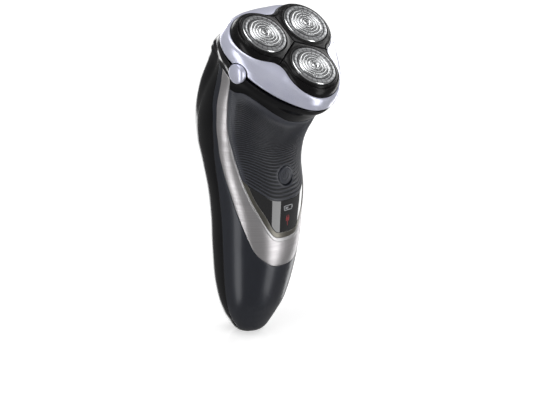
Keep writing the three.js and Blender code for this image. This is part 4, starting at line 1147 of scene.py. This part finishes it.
        ribs = self.rib_height(rise * length, length)[:, None]
        from_side = np.minimum(across, 1 - across)[None, :] * width
        ribbed = np.clip((from_side - 2.4) / 1.2, 0, 1)
        dots = np.clip(np.cos(2 * math.pi * rise * length / self.dot_pitch), 0, 1)[:, None]
        above_foot = np.clip((rise[:, None] - 0.05) / 0.05, 0, 1)
        dotted = np.exp(-((from_side - self.dot_inset) / 0.35) ** 2) * dots * above_foot
        flat = on_handle(grid)
        away = np.hypot(flat[..., 0], flat[..., 2] - BUTTON_HEIGHT)
        near_button = np.clip((away - self.button_hole - 0.35) / 0.9, 0, 1)
        relief = (ribs * ribbed + self.dot_rise * dotted) * near_button
        grip = self.panel("rubber_grip_form", grid, self.grip_proud + relief)
        # painted highlight: the dots beside the trim are coloured lighter
        mark_outside(grip, "dot_mark", dotted)
        # painted shade: the ribs' troughs darken with their depth
        mark_outside(grip, "trough_mark", -ribs / self.rib_depth * ribbed * near_button)
        ends = [(0, y, BUTTON_HEIGHT) for y in (-60, 0)]
        cut_out(grip, rod("button hole", *ends, self.button_hole), smooth_to=62)
        self.hand_over(grip, "handle", "grip", "rubber_grip")

    def build(self) -> None:
        """Build every panel of the handle."""
        self.build_back()
        self.build_front()
        self.build_trim()
        self.build_window()
        self.build_grip()


@dataclass
class PowerButton(SubAssembly):
    """The round button in the grip: a dished cap with a raised ring and a power symbol."""

    radius: float = 4.45
    thickness: float = 2.0

    def build(self) -> None:
        """Turn the cap's profile about a line towards the front and press the symbol into it."""
        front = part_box("power_button")[0][1] / MM
        share = np.linspace(0, 1, 140)
        radius = np.r_[self.radius * share, np.full(8, self.radius)]
        dish = 0.35 * (1 - np.clip(radius / (self.radius - 0.9), 0, 1) ** 2)
        ring = 0.25 * np.exp(-((radius - self.radius + 0.55) / 0.28) ** 2)
        edge = np.r_[0.35 * np.clip((share - 0.955) / 0.045, 0, 1) ** 2, np.linspace(0.4, 2.0, 8)]
        depth = 0.3 + dish - ring + edge
        r, a = np.meshgrid(radius, circle(240), indexing="ij")
        x, z = r * np.cos(a), r * np.sin(a)
        arc = (np.abs(r - 1.75) < 0.28) & (np.abs(np.degrees(np.arctan2(x, z))) > 32)
        stroke = (np.abs(x) < 0.28) & (z > 0.4) & (z < 2.5)
        symbol = (arc | stroke).astype(float)
        y = front + depth[:, None] + 0.2 * symbol
        y[-1] = front + self.thickness
        rings = np.stack([x, y, BUTTON_HEIGHT + z], -1)
        base = rings[-1:].copy()
        base[..., 0], base[..., 2] = 0, BUTTON_HEIGHT
        points = np.concatenate([rings, base])
        quads = capped_quads(*points.shape[:2])
        button = new_mesh("power_button_cap", points.reshape(-1, 3), quads)
        give_attribute(button, "pressed_mark", np.concatenate([symbol, 0 * symbol[:1]]))
        self.hand_over(button, "power_button", "grip", "power_button")


# ------------------------------------------------------------------ collar and release button
BUTTON_AXIS = (-1.2, -14.0)
HINGE_U = 29.6
KNUCKLE_U = 29.2
HINGE_H = -12.9
KNUCKLE = 1.5


def button_line() -> list[Array]:
    """Two points of the release button's axis, from outside the collar to inside it."""
    return [head_to_world(np.array([u, *BUTTON_AXIS])) for u in (-45.0, -20.0)]


def hinge_line(u: float, *ends: float) -> list[Array]:
    """Points beside the shaving unit's hinge pin, at places up the face."""
    return [head_to_world(np.array([u, v, HINGE_H])) for v in ends]


@dataclass
class Collar(SubAssembly):
    """The gloss black collar below the shaving unit and its round release button."""

    wall: float = 2.0
    bevel: float = 0.35
    edge: SeamLine = SeamLine(COLLAR_EDGE)
    button_radius: float = 4.6
    swell: float = 0.9
    hinge_room: float = 2.9

    def build_collar(self) -> None:
        """The collar: an upright grid all round, swollen about the release button."""
        angle = circle(360)
        foot = np.full(len(angle), NECK_ROW)
        for _ in range(4):
            foot = self.edge.row_at(depth_share(foot, angle))
        rise = cluster(70, 12.0, self.bevel)[:, None]
        t = foot[None, :] * (1 - rise) + TOP * rise
        grid = np.stack([t, np.broadcast_to(angle, t.shape)], -1)
        flat = on_handle(grid)
        fall = edge_roll(flat, self.bevel, "rows")
        away = np.linalg.norm(flat - head_to_world(np.array([-31.0, *BUTTON_AXIS])), axis=-1)
        bulge = self.swell * np.exp(-(away / (self.button_radius + 2.2)) ** 4)
        outer = on_handle(grid, bulge + shoulder(t, grid[..., 1]) - fall)
        sides = [np.moveaxis(side, 0, 1) for side in (outer, on_handle(grid, -self.wall))]
        collar = slab("collar_form", *sides, loop_rows=True)
        cut_out(collar, rod("button bore", *button_line(), self.button_radius + 0.3),
                rod("hinge room", *hinge_line(HINGE_U, -10.0, 16.0), self.hinge_room))
        self.hand_over(collar, "handle", "gloss_black", "head_collar")
        for n, reach in enumerate(((-6.0, -2.3), (2.3, 6.0))):
            knuckle = rod(f"collar_knuckle_{n + 1}", *hinge_line(KNUCKLE_U, *reach), KNUCKLE)
            self.hand_over(knuckle, "handle", "gloss_black")

    def build_button(self) -> None:
        """The domed release button, turned about a line across the shaver."""
        low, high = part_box("release_button")
        face, back = low[0] / MM, high[0] / MM
        share = np.linspace(0, 1, 60)
        radius = self.button_radius * np.sin(share * math.pi / 2)
        depth = 1.5 * (1 - np.sqrt(np.maximum(1 - (radius / (self.button_radius * 1.02)) ** 2, 0)))
        rim, stem = self.button_radius, 1.4
        foot = [[rim, 3.2], [stem, 3.25], [stem, back - face], [0, back - face]]
        profile = np.vstack([np.c_[radius, depth], foot])
        r, a = np.meshgrid(profile[:, 0], circle(128), indexing="ij")
        v, h = BUTTON_AXIS
        local = np.stack([face + profile[:, 1:2] + 0 * r, v + r * np.cos(a), h + r * np.sin(a)], -1)
        points = head_to_world(local).reshape(-1, 3)
        button = new_mesh("release_button_cap", points, capped_quads(*r.shape))
        self.hand_over(button, "release_button", "silver", "release_button")

    def build(self) -> None:
        """Build the collar and its button."""
        self.build_collar()
        self.build_button()


# ------------------------------------------------------------------ shaving unit
@dataclass
class ShavingUnit(SubAssembly):
    """The silver rim, the three petals and the three slotted guards."""

    rim_lobe: float = 17.5
    rim_waist: float = 28.4
    petal_lobe: float = 15.2
    petal_waist: float = 18.8
    foot: float = -12.4
    seat: float = -9.2
    rim_wall: float = 1.2
    rim_lip: float = 0.35
    notch_radius: float = 5.1
    petal_inset: float = 0.3
    petal_bevel: float = 0.35
    petal_inside: float = -7.2
    flat_height: float = -0.9
    groove_inset: float = 2.0
    groove_depth: float = 0.7
    guard_radius: float = 11.272
    guard_roll: float = 0.9
    slot: float = 0.5
    slits: int = 60
    spokes: int = 24
    slit_depth: float = 0.04
    track_from: float = 2.0
    track_pitch: float = 1.5
    tracks: int = 4

    @staticmethod
    def waist_share(angle: Array) -> Array:
        """0 in the middle of a lobe and 1 between two lobes."""
        return 0.5 - 0.5 * np.cos(3 * (angle - math.pi / 6))

    def top_height(self, angle: Array) -> Array:
        """Height of the rim's upper edge, which rises between the lobes."""
        return -5.9 + 2.9 * self.waist_share(angle)

    def build_rim(self) -> None:
        """The rim: a flared ring whose outline carries from wide at the foot to lobed at the top.

        Its outer profile is a smooth curve through shares of the way from the foot's outline to the
        top's; the ring closes down its inner wall.
        """
        angle = circle(480)[:, None]
        low = three_lobes(angle, self.rim_lobe, self.rim_waist)
        top = three_lobes(angle, self.petal_lobe, self.petal_waist)
        rise = self.top_height(angle)
        base = self.foot + 1.2
        profile = np.array([[0, 0.0], [0.14, 0.42], [0.42, 0.76], [0.75, 0.94], [1.0, 1.0]])
        smooth = along(profile, np.linspace(0, 4, 60))
        radius = low + (top - low) * smooth[None, :, 0]
        height = base + (rise - base) * smooth[None, :, 1]
        roll = np.linspace(0, math.pi / 2, 9)[None, :-1]
        foot_r = low - 0.5 * (1 - np.sin(roll))
        foot_h = self.foot + 1.2 * (1 - np.cos(roll)) + 0 * low
        lip = np.linspace(0, 1, 7)[None, 1:]
        lip_r = top - self.rim_lip * (1 - np.cos(lip * math.pi / 2))
        lip_h = rise - 0.6 * lip
        inner_r = [top - self.rim_lip, np.maximum(low - 5, top), low - self.rim_wall - 0.4]
        inner_h = [0 * low + level for level in (self.seat, self.seat - 0.6, self.foot)]
        r = np.concatenate([foot_r, radius, lip_r, *inner_r], 1)
        h = np.concatenate([foot_h, height, lip_h, *inner_h], 1)
        points = head_to_world(np.stack([r * np.cos(angle), r * np.sin(angle), h], -1))
        rim = new_mesh("silver_rim", points.reshape(-1, 3), tube_quads(*r.shape, True, True))
        cut_out(rim, rod("button notch", *button_line(), self.notch_radius))
        self.hand_over(rim, "shaving_unit", "silver", "head_frame")
        knuckle = rod("rim_knuckle", *hinge_line(KNUCKLE_U, -2.0, 2.0), KNUCKLE)
        self.hand_over(knuckle, "shaving_unit", "silver")

    @staticmethod
    def axis_of(n: int) -> tuple[float, Array]:
        """Polar angle and place of a cutter's axis on the face."""
        lobe = math.radians(30 + 120 * n)
        return lobe, CUTTER_PITCH * np.array([math.cos(lobe), math.sin(lobe)])

    def petal_outline(self, angle: Array) -> Array:
        """Polar radius of the three petals' common outline."""
        lobe, waist = self.petal_lobe - self.petal_inset, self.petal_waist - self.petal_inset
        return three_lobes(angle, lobe, waist)

    def petal_reach(self, n: int, angle: Array) -> Array:
        """How far a petal reaches from its guard's axis in each direction, found by halving.

        A point belongs to the petal when it is inside the lobed outline and on its own side of the
        two slots that part it from its neighbours.
        """
        lobe, axis = self.axis_of(n)
        inside = np.zeros_like(angle)
        outside = np.full_like(angle, 30.0)
        for _ in range(40):
            reach = (inside + outside) / 2
            x, y = axis[0] + reach * np.cos(angle), axis[1] + reach * np.sin(angle)
            held = np.hypot(x, y) < self.petal_outline(np.arctan2(y, x))
            for side in (-1, 1):
                edge = lobe + side * math.pi / 3
                apart = side * (math.cos(edge) * y - math.sin(edge) * x)
                held &= apart < -self.slot / 2
            inside, outside = np.where(held, reach, inside), np.where(held, outside, reach)
        return inside

    def dome(self, x: Array, y: Array) -> Array:
        """Height of the petals' dome: flat over the middle, falling to the rim's upper edge.

        The fall follows an ellipse's quarter between the flat's outline and the petals' outline.
        """
        angle = np.arctan2(y, x)
        flat = three_lobes(angle, self.petal_lobe - 3.4, self.petal_waist - 2.6)
        share = np.clip((np.hypot(x, y) - flat) / (self.petal_outline(angle) - flat), 0, 1)
        low = self.top_height(angle)
        return low + (self.flat_height - low) * np.sqrt(1 - share ** 2 * 0.995)

    def build_petal(self, n: int) -> None:
        """One petal: a grid round its guard's axis, from the guard's hole to the petal's edge."""
        _, axis = self.axis_of(n)
        angle = circle(420)[:, None]
        reach = self.petal_reach(n, angle)
        hole = self.guard_radius + 0.3
        radius = hole + (reach - hole) * cluster(90, 4.0, self.petal_bevel)[None, :]
        x, y = axis[0] + radius * np.cos(angle), axis[1] + radius * np.sin(angle)
        from_hole = radius - hole
        fall = roll_off(from_hole, self.petal_bevel) + roll_off(reach - radius, self.petal_bevel)
        collar = 0.3 * np.exp(-(from_hole / 1.1) ** 2)
        from_outline = self.petal_outline(np.arctan2(y, x)) - np.hypot(x, y)
        groove = self.groove_depth * np.exp(-((from_outline - self.groove_inset) / 0.3) ** 2)
        top = self.dome(x, y) + collar - groove - fall
        sides = [head_to_world(np.stack([x, y, level], -1))
                 for level in (top, 0 * top + self.petal_inside)]
        petal = slab(f"petal_form_{n + 1}", *sides, loop_rows=True)
        self.hand_over(petal, f"petal_{n + 1}", "satin_black", f"petal_{n + 1}")

    def on_tracks(self, radius: Array) -> Array:
        """Whether distances from a guard's axis are on its ring tracks."""
        end = self.track_from + self.tracks * self.track_pitch
        return (radius > self.track_from) & (radius < end)

    def track_wave(self, radius: Array) -> Array:
        """0 between two ring tracks and 1 on a track's crest."""
        phase = 2 * math.pi * (radius - self.track_from) / self.track_pitch
        return 0.5 - 0.5 * np.cos(phase)

    def build_guard(self, n: int) -> None:
        """One guard: a shallow cap with ring tracks, the tracks cut by many fine slits.

        The profile is a shallow dome with rounded rings; the slits lower the rings' crests by a
        wave round the axis, and the centre holds a small dished disc.
        """
        _, centre = self.axis_of(n)
        outer, flat = self.guard_radius, self.guard_radius - self.guard_roll
        radius = np.r_[0, np.linspace(0.1, flat, 170)]
        base = 0.25 - 0.45 * (radius / outer) ** 2
        rings = 0.34 * self.track_wave(radius) ** 0.8 * self.on_tracks(radius)
        land = -0.22 * np.exp(-((radius - 8.75) / 0.7) ** 4)
        ridge = 0.12 * np.exp(-((radius - 1.55) / 0.25) ** 2)
        disc = -0.3 * np.exp(-(radius / 1.1) ** 6) + ridge
        roll = np.linspace(0, math.pi / 2, 10)[1:]
        edge = np.c_[flat + self.guard_roll * np.sin(roll),
                     base[-1] - self.guard_roll * (1 - np.cos(roll))]
        top = np.c_[radius, base + rings + land + disc]
        inner = outer - 0.6
        inside = [[outer, -5.0], [inner, -5.0], [inner, -1.5], [inner - 0.7, -0.9], [0, -0.6]]
        profile = np.vstack([top, edge, inside])

        def slits(r: Array, a: Array) -> Array:
            """Slits across the ring tracks, none on the disc or the outer land."""
            cut = (np.arange(len(r))[:, None] < len(top)) & self.on_tracks(r)
            depth = self.slit_depth * np.clip(np.cos(self.slits * a) * 2, 0, 1)
            return np.where(cut, -depth, 0.0)

        guard = turned(f"guard_form_{n + 1}", profile, self.slits * 6, centre, slits)
        self.mark_slits(guard, centre)
        self.hand_over(guard, f"guard_{n + 1}", "chrome", f"guard_{n + 1}")

    def mark_slits(self, guard: Piece, centre: Array) -> None:
        """Mark the slits and the dark grooves so that the finish can show them open, and paint shade
        into the valleys between the ring tracks.
        """
        points = points_of(guard) - FACE_CENTRE
        cos, sin = math.cos(FACE_TILT), math.sin(FACE_TILT)
        u = points[:, 0] - centre[0]
        v = points[:, 1] * cos + points[:, 2] * sin - centre[1]
        h = -points[:, 1] * sin + points[:, 2] * cos
        r, a = np.hypot(u, v), np.arctan2(v, u)
        band, crest = self.on_tracks(r), self.track_wave(r)
        slit = band * crest * np.clip(2 * np.cos(self.slits * a) - 0.8, 0, 1) * 0.3
        # painted shade: the valleys between the ring tracks darken with their depth
        trough = band * np.clip(1 - 2.2 * crest, 0, 1) * 0.75
        bars = np.clip(6 * np.cos(self.spokes * a) - 4.6, 0, 1)
        spoke = ((r > 8.2) & (r < 10.7)) * (0.72 + bars * 0.2)
        grooves = np.exp(-((r - 8.35) / 0.18) ** 2) * 0.7 + np.exp(-((r - 1.1) / 0.3) ** 4) * 0.8
        dark = np.clip(slit + trough + spoke + grooves, 0, 1)
        give_attribute(guard, "slot_mark", dark * (h > -1.0))

    def build(self) -> None:
        """Build the rim, the petals and the guards."""
        self.build_rim()
        for n in range(3):
            self.build_petal(n)
            self.build_guard(n)


# ------------------------------------------------------------------ trimmer
@dataclass
class Trimmer(SubAssembly):
    """The pop-up trimmer's cover and the ribbed pad that slides it out."""

    half: float = 13.0
    barrel: float = 3.9
    barrel_half: float = 6.5
    pad_half: float = 5.5
    pad_rise: float = 4.0
    lean: float = 0.2228
    place: tuple[float, float, float] = (0.0, 21.35, 87.26)
    pad_roll: float = 0.8
    rib_pitch: float = 1.3
    cover_rows: tuple[float, float] = (10.47, 12.3)
    cover_bevel: float = 0.4
    cover_wall: float = 5.0

    def build_pad(self) -> None:
        """The sliding pad: a rounded block whose top carries cross ribs, on a short stem."""
        half, rise, roll = self.pad_half, self.pad_rise, self.pad_roll
        x, z = np.meshgrid((cluster(50, 2 * half, roll) * 2 - 1) * half,
                           (cluster(90, 2 * rise, roll) * 2 - 1) * rise)
        corner = np.abs(x / half) ** 8 + np.abs(z / rise) ** 8
        past = np.maximum(np.abs(x) - half, np.abs(z) - rise)
        near = np.clip((past + roll) / roll, 0, 1)
        fall = roll * (1 - np.sqrt(1 - near ** 2 * 0.999))
        ribbed = (np.abs(z) < rise - 1) * (np.abs(x) < half - 0.9)
        rib = 0.22 * np.cos(2 * math.pi * z / self.rib_pitch) * ribbed
        top = 2.1 + rib - fall - 0.05 * np.clip(corner - 1, 0, 1)
        cos, sin = math.cos(self.lean), math.sin(self.lean)

        def placed(y: Array) -> Array:
            """Lean the pad with the back and put it on its place."""
            _, y0, z0 = self.place
            return np.stack([x, y0 + y * cos + z * sin, z0 - y * sin + z * cos], -1)

        pad = slab("trimmer_slide_pad", placed(top), placed(0 * top + 0.9))
        self.hand_over(pad, "trimmer_slide", "satin_black", "trimmer_slide")
        _, y, z = self.place
        stem = block("slide_stem", (-1.5, y - 3.0, z - 1.5), (1.5, y + 1.3, z + 1.5))
        self.hand_over(stem, "trimmer_slide", "satin_black")

    def build_cover(self) -> None:
        """The trimmer's cover: a patch of the back's own form between two upright sides."""
        x = (cluster(60, 2 * self.half, self.cover_bevel) * 2 - 1) * self.half
        start, stop = self.cover_rows
        t = start + (stop - start) * cluster(70, 30.0, self.cover_bevel)
        rows, across = np.meshgrid(t, x, indexing="ij")
        angle = np.full(rows.shape, math.pi / 2)
        sections = along(SECTIONS, rows)
        for _ in range(30):
            radius = section_radius(sections, angle)
            angle = np.arccos(np.clip(across / radius, -1, 1))
        fall = edge_roll(handle_point(rows, angle), self.cover_bevel)
        outer = handle_point(rows, angle, -fall)
        inner = handle_point(rows, angle, -self.cover_wall)
        inner[..., 0] = outer[..., 0]
        cover = slab("trimmer_cover", outer, inner)
        self.hand_over(cover, "trimmer", "gloss_black", "trimmer_housing")
        _, y, z = middle_of("trimmer_pin")
        ends = [(side, y, z) for side in (-self.barrel_half, self.barrel_half)]
        self.hand_over(rod("trimmer_barrel", *ends, self.barrel), "trimmer", "gloss_black")

    def build(self) -> None:
        """Build the cover and the pad."""
        self.build_cover()
        self.build_pad()


# ------------------------------------------------------------------ studio
@dataclass(frozen=True)
class SoftBox:
    """A rectangular soft light, its sizes in metres and its power in watts."""

    name: str
    place: tuple[float, float, float]
    aim_height: float
    size: tuple[float, float]
    power: float

    def build(self) -> None:
        """Make the light, turned to a point above the scene's origin."""
        lamp = bpy.data.lights.new(self.name, "AREA")
        lamp.shape = "RECTANGLE"
        lamp.size, lamp.size_y = self.size
        lamp.energy = self.power
        light = bpy.data.objects.new(self.name, lamp)
        light.location = self.place
        way = Vector((0, 0, self.aim_height)) - Vector(self.place)
        light.rotation_euler = way.to_track_quat("-Z", "Y").to_euler()
        light.visible_camera = False
        bpy.context.scene.collection.objects.link(light)


SOFT_BOXES = (
    SoftBox("front box", (0.23, -0.97, -0.2), 0.05, (0.4, 1.5), 5.4),
    SoftBox("left box", (-0.99, 0.12, -0.2), 0.05, (0.32, 1.5), 5.0),
    SoftBox("right box", (0.99, 0.12, 0.0), 0.08, (0.3, 1.2), 3.0),
    SoftBox("back box", (0.32, 0.95, -0.1), 0.08, (0.4, 1.5), 6.0),
    SoftBox("top box", (0.86, -0.08, 0.66), 0.13, (0.5, 0.42), 3.0),
    SoftBox("high box", (-0.3, -0.1, 1.2), 0.1, (0.9, 0.5), 5.5),
)


@dataclass
class Studio:
    """The floor, the lights and the camera."""

    azimuth: float = math.radians(-45)
    elevation: float = math.radians(18)
    distance: float = 1.2
    lens: float = 168.9
    target: tuple[float, float, float] = (0.0, -0.012, 0.085)
    shift_right: float = 0.0008
    shift_up: float = -0.01867
    ambient: float = 0.27
    floor_half: float = 12.0
    floor_glow: float = 0.6
    floor_gap: float = 0.0002

    def build_floor(self) -> None:
        """A plain pale floor that carries a soft reflection of the shaver's foot."""
        half = self.floor_half
        corners = [(-half, -half, 0), (half, -half, 0), (half, half, 0), (-half, half, 0)]
        mesh = bpy.data.meshes.new("floor")
        mesh.from_pydata(corners, [], [(0, 1, 2, 3)])
        floor = bpy.data.objects.new("floor", mesh)
        bpy.context.scene.collection.objects.link(floor)
        material = bpy.data.materials.new("pale floor")
        material.use_nodes = True
        shader = material.node_tree.nodes["Principled BSDF"]
        shader.inputs["Base Color"].default_value = (0.8, 0.8, 0.8, 1)
        shader.inputs["Roughness"].default_value = 0.14
        shader.inputs["Specular IOR Level"].default_value = 0.9
        seen = material.node_tree.nodes.new("ShaderNodeLightPath").outputs["Is Camera Ray"]
        shader.inputs["Emission Color"].default_value = (1, 1, 1, 1)
        graph = Graph(material.node_tree)
        glow = graph.maths("MULTIPLY", seen, self.floor_glow)
        material.node_tree.links.new(glow, shader.inputs["Emission Strength"])
        mesh.materials.append(material)
        floor.visible_glossy = False
        floor.location.z = CAD_BOUNDS[0][2] - self.floor_gap

    def build_camera(self) -> None:
        """The camera, aimed a little below the shaver's middle."""
        cos, sin = math.cos(self.azimuth), math.sin(self.azimuth)
        level, rise = math.cos(self.elevation), math.sin(self.elevation)
        right = Vector((cos, sin, 0))
        back = Vector((level * sin, -level * cos, rise))
        up = back.cross(right)
        aim = Vector(self.target) + right * self.shift_right + up * self.shift_up
        camera = bpy.data.objects.new("camera", bpy.data.cameras.new("camera"))
        camera.data.lens = self.lens
        camera.data.clip_start = 0.01
        turn = Matrix((right, up, back)).transposed().to_4x4()
        camera.matrix_world = Matrix.Translation(aim + back * self.distance) @ turn
        bpy.context.scene.collection.objects.link(camera)
        bpy.context.scene.camera = camera

    def build_lights(self) -> None:
        """Pale surroundings and six soft boxes: one on each side and two above."""
        world = bpy.data.worlds.new("studio")
        world.use_nodes = True
        graph = Graph(world.node_tree)
        seen = world.node_tree.nodes.new("ShaderNodeLightPath").outputs["Is Camera Ray"]
        background = world.node_tree.nodes["Background"]
        background.inputs["Color"].default_value = (1, 1, 1, 1)
        strength = graph.ramp(seen, 0, 1, self.ambient, 1.0)
        world.node_tree.links.new(strength, background.inputs["Strength"])
        bpy.context.scene.world = world
        for box in SOFT_BOXES:
            box.build()

    def build(self) -> None:
        """Set up the studio and a plain view transform."""
        self.build_floor()
        self.build_camera()
        self.build_lights()
        bpy.context.scene.view_settings.view_transform = "Standard"


def main() -> None:
    """Build the shaver's sub-assemblies in order, then the studio."""
    logging.basicConfig(level=logging.INFO, format="%(name)s: %(message)s")
    palette = Palette()
    palette.dress_cad()
    for assembly in (Handle, PowerButton, Collar, ShavingUnit, Trimmer):
        assembly(palette).build()
    Studio().build()


if __name__ == "__main__":
    main()
